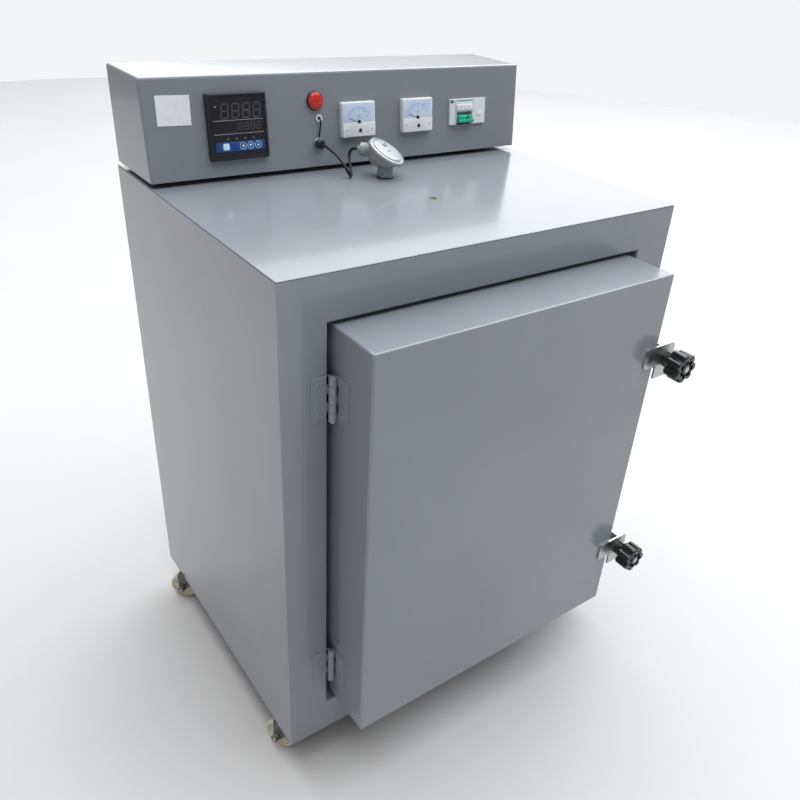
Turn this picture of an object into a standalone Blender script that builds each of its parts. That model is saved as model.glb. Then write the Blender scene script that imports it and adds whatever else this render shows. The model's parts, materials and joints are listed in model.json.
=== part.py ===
# Electric chamber kiln on casters: steel cabinet, brick lining, hinged door with two hand-screw clamps,
# control box on the top and a thermocouple through the roof. Metres, +Z up, door towards -Y.
# The kiln's own frame starts at the cabinet's left front lower corner: X right, Y back, Z up.

import math

import bmesh
import bpy
from mathutils import Vector

# Cabinet
WIDTH = 0.710
DEPTH = 0.550
HEIGHT = 0.830
SHEET = 0.0015
BEND = 0.003
GAP = 0.0003

# Front border round the door recess
STILE_LEFT = 0.068
STILE_RIGHT = 0.070
RAIL_LOW = 0.067
RAIL_TOP = 0.066
RECESS_DEPTH = 0.034

# Lining, from the cabinet's outside to the chamber
WALL_LEFT = 0.150
WALL_RIGHT = 0.156
WALL_FLOOR = 0.165
WALL_ROOF = 0.155
WALL_BACK = 0.120
THROAT_STEEL = 0.002

# Heating elements, in grooves of the side walls
ELEMENT_ROWS = 5
ELEMENT_RADIUS = 0.006
ELEMENT_END = 0.030
GROOVE_RADIUS = 0.010
GROOVE_LIP = 0.001
GROOVE_END = 0.014
TURN_HALF = 0.012

# Door, by its gaps to the recess
DOOR_GAP_LEFT = 0.010
DOOR_GAP_RIGHT = 0.014
DOOR_GAP_LOW = 0.015
DOOR_GAP_TOP = 0.006
DOOR_PROUD = 0.088
DOOR_INSET = 0.022
DOOR_SHEET = 0.002
DOOR_LIP = 0.001
PLUG_CLEARANCE = 0.011
PLUG_REACH = 0.034
PLUG_ROOT = 0.003
SEAL_WIDTH = 0.018
SEAL_PROUD = 0.006

# Hinges
BARREL_RADIUS = 0.0055
BARREL_OFF = 0.001
PIN_RADIUS = 0.0030
PIN_PLAY = 0.00006
PIN_PROUD = 0.002
LEAF_WIDTH = 0.023
LEAF_THICK = 0.0015
HINGE_HEIGHT = 0.067
HINGE_DROP = 0.099
HINGE_RISE = 0.079
KNUCKLES = 5
KNUCKLE_PLAY = 0.0004
KNUCKLE_ROOM = 0.0006

# Clamps: a plate on the door, a folded bracket with a nut on the cabinet, and a star knob on a stud
CLAMP_DROP = 0.152
CLAMP_RISE = 0.117
LUG_LENGTH = 0.071
LUG_HEIGHT = 0.036
LUG_RAISE = 0.011
LUG_THICK = 0.003
LUG_CORNER = 0.008
LUG_END = 0.016
STUD_OVERHANG = 0.026
STUD_RADIUS = 0.005
STUD_PLAY = 0.0004
STUD_ENTRY = 0.007
STUD_PROUD = 0.001
BRACKET_THICK = 0.003
BRACKET_BEND = 0.005
BRACKET_HEIGHT = 0.045
BRACKET_LOWER = 0.011
BRACKET_CLEARANCE = 0.007
BRACKET_REACH = 0.042
BRACKET_FOOT = 0.022
NUT_RADIUS = 0.0096
NUT_THICK = 0.006
NUT_PLAY = 0.0016
KNOB_RADIUS = 0.025
KNOB_LOBES = 7
KNOB_THICK = 0.028
KNOB_EDGE = 0.003
HUB_RADIUS = 0.0125
HUB_LENGTH = 0.0134

# Control box
BOX_REAR_INSET = 0.007
BOX_DEPTH_LOW = 0.149
BOX_DEPTH_TOP = 0.136
BOX_RAISE = 0.008
BOX_HEIGHT = 0.144
BOX_SHEET = 0.0015
FOOT_INSET = 0.060
FOOT_WIDTH = 0.030
FOOT_FRONT = 0.030
FOOT_REAR = 0.020

# Instruments
CONTROLLER_SIZE = 0.096
CONTROLLER_BODY = 0.090
CONTROLLER_PROUD = 0.008
CONTROLLER_DEEP = 0.075
CONTROLLER_EDGE = 0.0015
LAMP_RADIUS = 0.0145
LAMP_PROUD = 0.004
LAMP_BODY = 0.011
LAMP_DEEP = 0.030
LENS_RADIUS = 0.0115
LENS_PROUD = 0.007
BUSHING_RADIUS = 0.0062
BUSHING_BODY = 0.0045
BUSHING_BORE = 0.003
BUSHING_PROUD = 0.0015
BUSHING_DEEP = 0.006
GLAND_FLANGE = 0.0098
GLAND_FLANGE_THICK = 0.0035
GLAND_CAP = 0.0080
GLAND_NOSE = 0.0050
GLAND_PROUD = 0.0095
GLAND_BODY = 0.0075
GLAND_DEEP = 0.012
METER_WIDTH = 0.064
METER_HEIGHT = 0.055
METER_PROUD = 0.009
METER_EDGE = 0.002
METER_DRUM = 0.025
METER_DEEP = 0.030
BREAKER_WIDTH = 0.082
BREAKER_HEIGHT = 0.044
BREAKER_PROUD = 0.004
BREAKER_DEEP = 0.060
BREAKER_EDGE = 0.0008
TOGGLE_WIDTH = 0.034
TOGGLE_RADIUS = 0.0065
TOGGLE_SIDE_PLAY = 0.001
TOGGLE_SHAFT = 0.0015
TOGGLE_SHAFT_REACH = 0.0022
TOGGLE_SINK = 0.001
TOGGLE_WELL = 0.011
TOGGLE_WELL_DEEP = 0.009
LEVER_REACH = 0.013
LEVER_LOW = 0.0072
LEVER_HIGH = 0.0018

# Instruments along the panel: the space before each one and its width, left to right
PANEL_ORDER = (
    ("controller", 0.0930, CONTROLLER_SIZE),
    ("lamp", 0.0734, 2 * LAMP_RADIUS),
    ("left_meter", 0.0306, METER_WIDTH),
    ("right_meter", 0.0560, METER_WIDTH),
    ("breaker", 0.0430, BREAKER_WIDTH),
)
PANEL_END = 0.0790
# Heights over the panel's middle
METER_UP = -0.0025
BREAKER_UP = -0.0033
LAMP_UP = 0.0297
BUSHING_UP = 0.0022
GLAND_UP = -0.0368
# Places beside another instrument's middle
BUSHING_ASIDE = 0.0066
GLAND_ASIDE = 0.0041
TOGGLE_ASIDE = -0.0075
TOGGLE_UP = -0.0110

# Thermocouple and vent, from the chamber's middle and the control box
PROBE_ASIDE = 0.0105
PROBE_BEFORE_BOX = 0.073
PROBE_RADIUS = 0.005
PROBE_ROOM = 0.001
PROBE_REACH = 0.060
PROBE_TOP = 0.018
NECK_RADIUS = 0.0130
NECK_HEIGHT = 0.018
HEAD_RADIUS = 0.0285
HEAD_HEIGHT = 0.040
HEAD_RIM = 0.012
HEAD_SHOULDER = 0.004
LID_RADIUS = 0.032
LID_THICK = 0.0075
LID_RIM = 0.0042
LID_SEAT = 0.021
LID_TILT = math.radians(31)
LID_TURN = math.radians(-52)
BRANCH_TURN = LID_TURN + math.pi
BRANCH_RADIUS = 0.011
BRANCH_END = 0.043
BRANCH_UP = 0.022
FERRULE_RADIUS = 0.0042
FERRULE_LENGTH = 0.0050
VENT_ASIDE = 0.012
VENT_BEFORE_PROBE = 0.131
VENT_RADIUS = 0.0065
DRILL_END = 0.010

CABLE_RADIUS = 0.0024
CABLE_STRAIGHT = 0.0040
LEAD_RADIUS = 0.0014

# Casters
WHEEL_RADIUS = 0.028
WHEEL_WIDTH = 0.020
WHEEL_DISH = 0.002
CASTER_HEIGHT = 0.070
CASTER_SIDE = 0.0235
CASTER_FRONT = 0.044
CASTER_REAR = 0.070
CASTER_TRAIL = 0.022
PAD_WIDTH = 0.045
PAD_LENGTH = 0.050
PAD_THICK = 0.0025
RACE_RADIUS = 0.015
RACE_HEIGHT = 0.006
CROWN_THICK = 0.0025
CROWN_FRONT = 0.014
FORK_PLATE = 0.0025
FORK_PLAY = 0.0015
CHEEK_RADIUS = 0.0078
AXLE_RADIUS = 0.003
AXLE_PLAY = 0.0003
BOLT_HEAD = 0.0075
BOLT_END = 0.022
CASTER_TURNS = {"front_left": -156, "front_right": 156, "rear_left": -138, "rear_right": 138}

# Overlap where two shapes are joined into one piece
LAP = 0.0007

# Sizes that follow from the ones above
RECESS_LEFT = STILE_LEFT
RECESS_RIGHT = WIDTH - STILE_RIGHT
RECESS_LOW = RAIL_LOW
RECESS_TOP = HEIGHT - RAIL_TOP
CHAMBER_LEFT = WALL_LEFT
CHAMBER_RIGHT = WIDTH - WALL_RIGHT
CHAMBER_LOW = WALL_FLOOR
CHAMBER_TOP = HEIGHT - WALL_ROOF
CHAMBER_BACK = DEPTH - WALL_BACK
CHAMBER_MIDDLE = (CHAMBER_LEFT + CHAMBER_RIGHT) / 2
DOOR_LEFT = RECESS_LEFT + DOOR_GAP_LEFT
DOOR_RIGHT = RECESS_RIGHT - DOOR_GAP_RIGHT
DOOR_LOW = RECESS_LOW + DOOR_GAP_LOW
DOOR_TOP = RECESS_TOP - DOOR_GAP_TOP
HINGE_X = DOOR_LEFT - BARREL_RADIUS - BARREL_OFF
HINGE_Y = -BARREL_RADIUS - BARREL_OFF
HINGE_CENTRES = {"upper": DOOR_TOP - HINGE_DROP, "lower": DOOR_LOW + HINGE_RISE}
CLAMP_CENTRES = {"upper": DOOR_TOP - CLAMP_DROP, "lower": DOOR_LOW + CLAMP_RISE}
STUD_X = DOOR_RIGHT + STUD_OVERHANG
LUG_FACE = DOOR_PROUD + GAP + LUG_THICK
KNOB_BACK = LUG_FACE + GAP
KNOB_FRONT = KNOB_BACK + HUB_LENGTH + KNOB_THICK
FRONT_END = KNOB_FRONT + STUD_PROUD
ORIGIN = Vector((WIDTH / 2, (DEPTH - FRONT_END) / 2, -CASTER_HEIGHT))
BOX_REAR = DEPTH - BOX_REAR_INSET
BOX_FRONT_LOW = BOX_REAR - BOX_DEPTH_LOW
BOX_FRONT_TOP = BOX_REAR - BOX_DEPTH_TOP
BOX_LOW = HEIGHT + BOX_RAISE
PANEL_SLOPE = math.atan2(BOX_FRONT_TOP - BOX_FRONT_LOW, BOX_HEIGHT)
PANEL_MIDDLE = BOX_HEIGHT / math.cos(PANEL_SLOPE) / 2
PROBE_AT = (CHAMBER_MIDDLE + PROBE_ASIDE, BOX_FRONT_LOW - PROBE_BEFORE_BOX)
VENT_AT = (CHAMBER_MIDDLE + VENT_ASIDE, PROBE_AT[1] - VENT_BEFORE_PROBE)
ELEMENT_SINK = GROOVE_RADIUS - ELEMENT_RADIUS - GAP
THROAT_BACK = RECESS_DEPTH + GAP + THROAT_STEEL


def clear_scene():
    for obj in list(bpy.data.objects):
        bpy.data.objects.remove(obj, do_unlink=True)


def new_collection(name):
    made = bpy.data.collections.new(name)
    bpy.context.scene.collection.children.link(made)
    return made


def paint(name, colour, roughness, metallic=0.0):
    material = bpy.data.materials.new(name)
    material.use_nodes = True
    shader = material.node_tree.nodes["Principled BSDF"]
    shader.inputs["Base Color"].default_value = (*colour, 1.0)
    shader.inputs["Roughness"].default_value = roughness
    shader.inputs["Metallic"].default_value = metallic
    return material


clear_scene()
KILN = new_collection("electric_kiln")
CUTTERS = new_collection("cutters")


def empty(name, location, parent=None, rotation=(0.0, 0.0, 0.0)):
    made = bpy.data.objects.new(name, None)
    made.location = location
    made.rotation_euler = rotation
    made.parent = parent
    KILN.objects.link(made)
    return made


def mesh_object(name, mesh, material, parent, location=(0, 0, 0), rotation=(0, 0, 0)):
    """A piece if it has a material, and otherwise a hidden cutter or a shape to be joined to a piece."""
    made = bpy.data.objects.new(name, mesh)
    made.location = location
    made.rotation_euler = rotation
    made.parent = parent
    if material is None:
        CUTTERS.objects.link(made)
        made.hide_render = True
        made.display_type = "WIRE"
    else:
        mesh.materials.append(material)
        KILN.objects.link(made)
    return made


def bevel(obj, width, segments=2, angle=35):
    made = obj.modifiers.new("edges", "BEVEL")
    made.width = width
    made.segments = segments
    made.limit_method = "ANGLE"
    made.angle_limit = math.radians(angle)
    return obj


def thicken(obj, thickness):
    """Gives an open surface its sheet thickness, behind the side that shows."""
    made = obj.modifiers.new("sheet", "SOLIDIFY")
    made.thickness = thickness
    made.offset = -1
    made.use_even_offset = True
    return obj


def block(name, low, high, material, parent, edge=0.0, segments=2, open_side=None):
    """A box between two corners, in its parent's frame, with its origin at its middle."""
    low = Vector(low)
    high = Vector(high)
    shape = bmesh.new()
    bmesh.ops.create_cube(shape, size=1.0)
    bmesh.ops.scale(shape, vec=high - low, verts=shape.verts)
    if open_side is not None:
        side = Vector(open_side)
        gone = [face for face in shape.faces if face.normal.dot(side) > 0.9]
        bmesh.ops.delete(shape, geom=gone, context="FACES")
    mesh = bpy.data.meshes.new(name)
    shape.to_mesh(mesh)
    shape.free()
    made = mesh_object(name, mesh, material, parent, (low + high) / 2)
    if edge:
        bevel(made, edge, segments)
    return made


def rod(name, radius, length, material, parent, location, rotation=(0, 0, 0), sides=24):
    """A cylinder or prism that starts at its location and runs along its own +Z."""
    shape = bmesh.new()
    bmesh.ops.create_cone(shape, cap_ends=True, segments=sides, radius1=radius, radius2=radius, depth=length)
    bmesh.ops.translate(shape, vec=(0, 0, length / 2), verts=shape.verts)
    mesh = bpy.data.meshes.new(name)
    shape.to_mesh(mesh)
    shape.free()
    mesh.shade_smooth()
    mesh.set_sharp_from_angle(angle=math.radians(40))
    return mesh_object(name, mesh, material, parent, location, rotation)


def turned(name, profile, material, parent, location, rotation=(0, 0, 0), steps=32):
    """A profile of (radius, height) pairs, from the top down its outer side, turned about +Z."""
    mesh = bpy.data.meshes.new(name)
    points = [(radius, 0.0, height) for radius, height in profile]
    links = [(i, i + 1) for i in range(len(points) - 1)]
    mesh.from_pydata(points, links, [])
    made = mesh_object(name, mesh, material, parent, location, rotation)
    screw = made.modifiers.new("turn", "SCREW")
    screw.steps = steps
    screw.render_steps = steps
    screw.use_merge_vertices = True
    screw.merge_threshold = 0.00005
    screw.use_smooth_shade = True
    return made


def outline(name, points, thickness, material, parent, location=(0, 0, 0), rotation=(0, 0, 0)):
    """A flat outline in its own XY plane, with half its thickness each way along Z, as a mesh."""
    curve = bpy.data.curves.new(name, "CURVE")
    curve.dimensions = "2D"
    curve.fill_mode = "BOTH"
    curve.extrude = thickness / 2
    spline = curve.splines.new("POLY")
    spline.points.add(len(points) - 1)
    for point, (x, y) in zip(spline.points, points):
        point.co = (x, y, 0, 1)
    spline.use_cyclic_u = True
    return curve_to_mesh(name, curve, material, parent, location, rotation)


def curve_to_mesh(name, curve, material, parent, location=(0, 0, 0), rotation=(0, 0, 0)):
    drawn = bpy.data.objects.new(name + "_curve", curve)
    KILN.objects.link(drawn)
    bpy.context.view_layer.update()
    mesh = bpy.data.meshes.new_from_object(drawn.evaluated_get(bpy.context.evaluated_depsgraph_get()))
    bpy.data.objects.remove(drawn)
    shape = bmesh.new()
    shape.from_mesh(mesh)
    bmesh.ops.remove_doubles(shape, verts=shape.verts, dist=0.00001)
    bmesh.ops.recalc_face_normals(shape, faces=shape.faces)
    shape.to_mesh(mesh)
    shape.free()
    mesh.materials.clear()
    return mesh_object(name, mesh, material, parent, location, rotation)


def tube(name, points, radius, material, parent):
    """A round wire along a list of points, left as a curve."""
    curve = bpy.data.curves.new(name, "CURVE")
    curve.dimensions = "3D"
    curve.bevel_depth = radius
    curve.bevel_resolution = 2
    curve.use_fill_caps = True
    spline = curve.splines.new("POLY")
    spline.points.add(len(points) - 1)
    for point, place in zip(spline.points, points):
        point.co = (*place, 1)
    curve.materials.append(material)
    made = bpy.data.objects.new(name, curve)
    made.parent = parent
    KILN.objects.link(made)
    return made


def combine(obj, other, operation):
    made = obj.modifiers.new(operation.lower() + "_" + other.name, "BOOLEAN")
    made.operation = operation
    made.solver = "EXACT"
    made.object = other
    return obj


def cut(obj, *cutters):
    for cutter in cutters:
        combine(obj, cutter, "DIFFERENCE")
    return obj


def join(obj, *others):
    for other in others:
        combine(obj, other, "UNION")
    return obj


def arc(centre, radius, start, end, count):
    """Points on a circle between two angles in degrees."""
    turns = [math.radians(start + (end - start) * i / count) for i in range(count + 1)]
    return [(centre[0] + radius * math.cos(turn), centre[1] + radius * math.sin(turn)) for turn in turns]


def rounded_rectangle(width, height, radius, count=4):
    x = width / 2 - radius
    y = height / 2 - radius
    corners = [((x, y), 0), ((-x, y), 90), ((-x, -y), 180), ((x, -y), 270)]
    return [point for centre, start in corners for point in arc(centre, radius, start, start + 90, count)]


def folded_strip(path, thickness, radius, count=3):
    """The closed outline of a sheet bent along a path of square left turns: the path is the outer face,
    the sheet lies to its left, and each bend has an outer radius."""
    outer = [Vector(path[0])]
    inner = []
    ahead = (Vector(path[1]) - outer[0]).normalized()
    inner.append(outer[0] + Vector((-ahead.y, ahead.x)) * thickness)
    for before, here, after in zip(path, path[1:], path[2:]):
        come = (Vector(here) - Vector(before)).normalized()
        go = (Vector(after) - Vector(here)).normalized()
        centre = Vector(here) - come * radius + go * radius
        start = math.degrees(math.atan2(-go.y, -go.x))
        outer.extend(arc(centre, radius, start, start + 90, count))
        inner.extend(arc(centre, radius - thickness, start, start + 90, count))
    ahead = (Vector(path[-1]) - Vector(path[-2])).normalized()
    outer.append(Vector(path[-1]))
    inner.append(Vector(path[-1]) + Vector((-ahead.y, ahead.x)) * thickness)
    return [tuple(point) for point in outer + inner[::-1]]


FRAME = empty("kiln_frame", -ORIGIN)
DOOR = empty("door_axis", (HINGE_X, HINGE_Y, 0), FRAME)
PANEL = empty("control_panel", (0, BOX_FRONT_LOW, BOX_LOW), FRAME, (-PANEL_SLOPE, 0, 0))
FORWARD = (math.pi / 2, 0, 0)
SIDEWAYS = (0, math.pi / 2, 0)

ENAMEL = paint("light grey enamel", (0.42, 0.44, 0.46), 0.25)
BRICK = paint("light firebrick", (0.82, 0.76, 0.66), 0.95)
WIRE = paint("heating alloy", (0.25, 0.22, 0.20), 0.6, 0.8)
ZINC = paint("zinc-plated steel", (0.55, 0.57, 0.58), 0.35, 0.9)
BLACK = paint("black plastic", (0.02, 0.02, 0.022), 0.35)
WHITE = paint("white plastic", (0.80, 0.80, 0.78), 0.4)
GREEN = paint("green plastic", (0.05, 0.45, 0.20), 0.4)
RED = paint("red lens", (0.65, 0.02, 0.02), 0.15)
CAST = paint("painted cast aluminium", (0.45, 0.50, 0.47), 0.4, 0.3)
NYLON = paint("cream nylon", (0.72, 0.66, 0.50), 0.5)
STEEL = paint("dark zinc steel", (0.28, 0.28, 0.30), 0.45, 0.8)
ROPE = paint("ceramic fibre rope", (0.85, 0.84, 0.80), 0.95)
CERAMIC = paint("ceramic sheath", (0.85, 0.82, 0.75), 0.6)


def build_cabinet():
    """Side, back and top sheets, each set against its neighbours."""
    inner = SHEET + GAP
    edge = SHEET * 0.6
    for side, low, high in (("left", 0, SHEET), ("right", WIDTH - SHEET, WIDTH)):
        block(side + "_side_panel", (low, inner, inner), (high, DEPTH - inner, HEIGHT - inner), ENAMEL, FRAME)
    block("back_panel", (0, DEPTH - SHEET, inner), (WIDTH, DEPTH, HEIGHT - inner), ENAMEL, FRAME, edge, 1)
    top = block("top_panel", (0, 0, HEIGHT - SHEET), (WIDTH, DEPTH, HEIGHT), ENAMEL, FRAME, edge, 1)
    for name, place, radius in (
        ("top_probe_hole", PROBE_AT, PROBE_RADIUS + PROBE_ROOM),
        ("top_vent_hole", VENT_AT, VENT_RADIUS),
    ):
        hole = rod(name, radius, 2 * DRILL_END, None, FRAME, (*place, HEIGHT - DRILL_END))
        cut(top, hole)


def caster_places():
    """The four swivel axes, on the floor tray."""
    right = WIDTH - CASTER_SIDE
    rear = DEPTH - CASTER_REAR
    return {
        "front_left": (CASTER_SIDE, CASTER_FRONT),
        "front_right": (right, CASTER_FRONT),
        "rear_left": (CASTER_SIDE, rear),
        "rear_right": (right, rear),
    }


def build_base():
    """The floor tray with four pads under it, one for each caster."""
    tray = block("base_frame", (0, 0, 0), (WIDTH, DEPTH, SHEET), STEEL, FRAME)
    for name, (x, y) in caster_places().items():
        pad = block(
            name + "_pad",
            (x - PAD_WIDTH / 2, y - PAD_LENGTH / 2, -PAD_THICK),
            (x + PAD_WIDTH / 2, y + PAD_LENGTH / 2, LAP),
            None,
            FRAME,
        )
        join(tray, pad)


def build_front():
    """One sheet round the recess, its inner edges folded back into the recess: a single face with an inset
    for the mouth, which is opened, and the mouth's edges run back as the fold."""
    low = Vector((0, 0, SHEET + GAP))
    high = Vector((WIDTH, 0, HEIGHT - SHEET - GAP))
    shape = bmesh.new()
    bmesh.ops.create_cube(shape, size=1.0)
    gone = [face for face in shape.faces if face.normal.y > -0.9]
    bmesh.ops.delete(shape, geom=gone, context="FACES")
    mouth = shape.faces[:]
    bmesh.ops.inset_individual(shape, faces=mouth, thickness=0.1)
    inner = set(mouth[0].verts)
    for vert in shape.verts:
        right = vert.co.x > 0
        top = vert.co.z > 0
        if vert in inner:
            vert.co = (RECESS_RIGHT if right else RECESS_LEFT, 0, RECESS_TOP if top else RECESS_LOW)
        else:
            vert.co = (high.x if right else low.x, 0, high.z if top else low.z)
    rim = mouth[0].edges[:]
    bmesh.ops.delete(shape, geom=mouth, context="FACES_ONLY")
    fold = bmesh.ops.extrude_edge_only(shape, edges=rim)["geom"]
    folded = [part for part in fold if isinstance(part, bmesh.types.BMVert)]
    bmesh.ops.translate(shape, vec=(0, RECESS_DEPTH, 0), verts=folded)
    shape.normal_update()
    middle = Vector(((RECESS_LEFT + RECESS_RIGHT) / 2, RECESS_DEPTH / 2, (RECESS_LOW + RECESS_TOP) / 2))
    for face in shape.faces:
        if abs(face.normal.y) < 0.5 and face.normal.dot(middle - face.calc_center_median()) < 0:
            face.normal_flip()
    mesh = bpy.data.meshes.new("front_frame")
    shape.to_mesh(mesh)
    shape.free()
    front = mesh_object("front_frame", mesh, ENAMEL, FRAME)
    bevel(front, BEND, 3)
    thicken(front, SHEET)
    return front


def build_lining():
    """Five slabs: the roof covers the rest, the floor lies between the walls."""
    low = SHEET + 2 * GAP
    front = THROAT_BACK + GAP
    back = DEPTH - SHEET - GAP
    top = HEIGHT - SHEET - GAP
    right = WIDTH - low
    parts = {
        "lining_left": ((low, front, low), (CHAMBER_LEFT, CHAMBER_BACK, CHAMBER_TOP)),
        "lining_right": ((CHAMBER_RIGHT, front, low), (right, CHAMBER_BACK, CHAMBER_TOP)),
        "lining_floor": ((CHAMBER_LEFT + GAP, front, low), (CHAMBER_RIGHT - GAP, CHAMBER_BACK, CHAMBER_LOW)),
        "lining_roof": ((low, front, CHAMBER_TOP + GAP), (right, back, top)),
        "lining_back": ((low, CHAMBER_BACK + GAP, low), (right, back, CHAMBER_TOP)),
    }
    made = {name: block(name, a, b, BRICK, FRAME) for name, (a, b) in parts.items()}
    for name, place, radius in (
        ("roof_probe_hole", PROBE_AT, PROBE_RADIUS + PROBE_ROOM),
        ("roof_vent_hole", VENT_AT, VENT_RADIUS),
    ):
        length = HEIGHT - CHAMBER_TOP + 2 * DRILL_END
        hole = rod(name, radius, length, None, FRAME, (*place, CHAMBER_TOP - DRILL_END))
        cut(made["lining_roof"], hole)
    build_elements(made)
    build_throat()


def element_heights():
    span = CHAMBER_TOP - CHAMBER_LOW
    return [CHAMBER_LOW + span * (i + 0.5) / ELEMENT_ROWS for i in range(ELEMENT_ROWS)]


def build_elements(linings):
    """One run to and fro along each side wall, lying in grooves that open towards the chamber."""
    front = THROAT_BACK + ELEMENT_END
    back = CHAMBER_BACK - ELEMENT_END
    for side, wall, out in (("left", CHAMBER_LEFT, -1), ("right", CHAMBER_RIGHT, 1)):
        x = wall + out * (GROOVE_RADIUS - GROOVE_LIP)
        near = wall - out * GROOVE_RADIUS
        far = x + out * GROOVE_RADIUS
        for i, z in enumerate(element_heights()):
            groove = block(
                f"{side}_groove_{i}",
                (min(near, far), front - GROOVE_END, z - GROOVE_RADIUS),
                (max(near, far), back + GROOVE_END, z + GROOVE_RADIUS),
                None,
                FRAME,
            )
            cut(linings["lining_" + side], groove)
        for i, (z, above) in enumerate(zip(element_heights(), element_heights()[1:])):
            y = back if i % 2 == 0 else front
            slot = block(
                f"{side}_turn_{i}",
                (min(near, far), y - TURN_HALF, z - ELEMENT_RADIUS),
                (max(near, far), y + TURN_HALF, above + ELEMENT_RADIUS),
                None,
                FRAME,
            )
            cut(linings["lining_" + side], slot)
        tube("heating_element_" + side, element_route(x, front, back), ELEMENT_RADIUS, WIRE, FRAME)


def element_route(x, front, back):
    """Along the bottom of each groove and up at its end, alternately at the back and the front."""
    points = []
    for i, middle in enumerate(element_heights()):
        z = middle - ELEMENT_SINK
        ends = (front, back) if i % 2 == 0 else (back, front)
        points += [(x, ends[0], z), (x, ends[1], z)]
    return points


def build_throat():
    """The steel frame behind the door, between the recess's folded edge and the chamber's mouth."""
    front = THROAT_BACK - THROAT_STEEL
    inner = SHEET + GAP
    plate = block(
        "throat_frame", (inner, front, inner), (WIDTH - inner, THROAT_BACK, HEIGHT - inner), STEEL, FRAME
    )
    mouth = block(
        "throat_mouth",
        (CHAMBER_LEFT, front - DRILL_END, CHAMBER_LOW),
        (CHAMBER_RIGHT, front + DRILL_END, CHAMBER_TOP),
        None,
        FRAME,
    )
    cut(plate, mouth)


def build_door():
    """A folded pan open at the back, a lining with a stepped plug, and a rope seal round the plug."""
    shift = Vector((HINGE_X, HINGE_Y, 0))
    low = Vector((DOOR_LEFT, -DOOR_PROUD, DOOR_LOW)) - shift
    high = Vector((DOOR_RIGHT, DOOR_INSET, DOOR_TOP)) - shift
    pan = block("door_shell", low, high, ENAMEL, DOOR, BEND, 2, open_side=(0, 1, 0))
    thicken(pan, DOOR_SHEET)
    skin = DOOR_SHEET + GAP
    face = high.y - DOOR_LIP
    filling = block(
        "door_lining",
        low + Vector((skin, skin, skin)),
        (high.x - skin, face, high.z - skin),
        BRICK,
        DOOR,
        BEND / 2,
    )
    clear = Vector((PLUG_CLEARANCE, 0, PLUG_CLEARANCE))
    plug_low = Vector((CHAMBER_LEFT, DOOR_INSET - PLUG_ROOT, CHAMBER_LOW)) + clear - shift
    plug_high = Vector((CHAMBER_RIGHT, DOOR_INSET + PLUG_REACH, CHAMBER_TOP)) - clear - shift
    join(filling, block("plug_block", plug_low, plug_high, None, DOOR))
    rim = block(
        "door_seal",
        (plug_low.x - GAP - SEAL_WIDTH, face + GAP, plug_low.z - GAP - SEAL_WIDTH),
        (plug_high.x + GAP + SEAL_WIDTH, high.y + SEAL_PROUD, plug_high.z + GAP + SEAL_WIDTH),
        ROPE,
        DOOR,
    )
    inside = block(
        "seal_inside",
        (plug_low.x - GAP, face - DRILL_END, plug_low.z - GAP),
        (plug_high.x + GAP, face + 2 * DRILL_END, plug_high.z + GAP),
        None,
        DOOR,
    )
    cut(rim, inside)


def knuckle_spans(own):
    """The heights of every other knuckle, with a little play between neighbours."""
    pitch = HINGE_HEIGHT / KNUCKLES
    first = 0 if own == "cabinet" else 1
    return [
        (i * pitch + KNUCKLE_PLAY / 2 - HINGE_HEIGHT / 2, (i + 1) * pitch - KNUCKLE_PLAY / 2 - HINGE_HEIGHT / 2)
        for i in range(first, KNUCKLES, 2)
    ]


def build_hinge(where, centre):
    """Two leaves with interleaved knuckles on one pin: one leaf on the cabinet's front, one on the door's side."""
    axis = Vector((HINGE_X, HINGE_Y, centre))
    half = HINGE_HEIGHT / 2
    reach = LEAF_WIDTH + BARREL_RADIUS
    for own in ("cabinet", "door"):
        parent = FRAME if own == "cabinet" else DOOR
        origin = axis if own == "cabinet" else Vector((0, 0, centre))
        if own == "cabinet":
            front = -HINGE_Y - GAP
            low = Vector((-reach, front - LEAF_THICK, -half))
            high = Vector((0, front, half))
        else:
            side = DOOR_LEFT - HINGE_X - GAP
            low = Vector((side - LEAF_THICK, -reach, -half))
            high = Vector((side, 0, half))
        leaf = block(f"hinge_{where}_{own}_leaf", origin + low, origin + high, ENAMEL, parent)
        for i, (bottom, top) in enumerate(knuckle_spans(own)):
            place = origin + Vector((0, 0, bottom))
            barrel = rod(f"{where}_{own}_knuckle_{i}", BARREL_RADIUS, top - bottom, None, parent, place, sides=16)
            join(leaf, barrel)
        for i, (bottom, top) in enumerate(knuckle_spans("door" if own == "cabinet" else "cabinet")):
            place = origin + Vector((0, 0, bottom - KNUCKLE_PLAY))
            length = top - bottom + 2 * KNUCKLE_PLAY
            room = rod(
                f"{where}_{own}_room_{i}", BARREL_RADIUS + KNUCKLE_ROOM, length, None, parent, place, sides=16
            )
            cut(leaf, room)
        place = origin + Vector((0, 0, -half - DRILL_END))
        length = HINGE_HEIGHT + 2 * DRILL_END
        cut(leaf, rod(f"{where}_{own}_bore", PIN_RADIUS + PIN_PLAY, length, None, parent, place, sides=16))
    place = axis + Vector((0, 0, -half - PIN_PROUD))
    rod(f"hinge_{where}_pin", PIN_RADIUS, HINGE_HEIGHT + 2 * PIN_PROUD, ZINC, FRAME, place, sides=16)


def star_outline(count=35):
    """Round lobes: the radius swings by an eighth of itself, once for each lobe."""
    deep = KNOB_RADIUS / 16
    turns = [2 * math.pi * i / count for i in range(count)]
    radii = [KNOB_RADIUS - deep + deep * math.cos(KNOB_LOBES * turn) for turn in turns]
    return [(r * math.cos(turn), r * math.sin(turn)) for r, turn in zip(radii, turns)]


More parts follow.
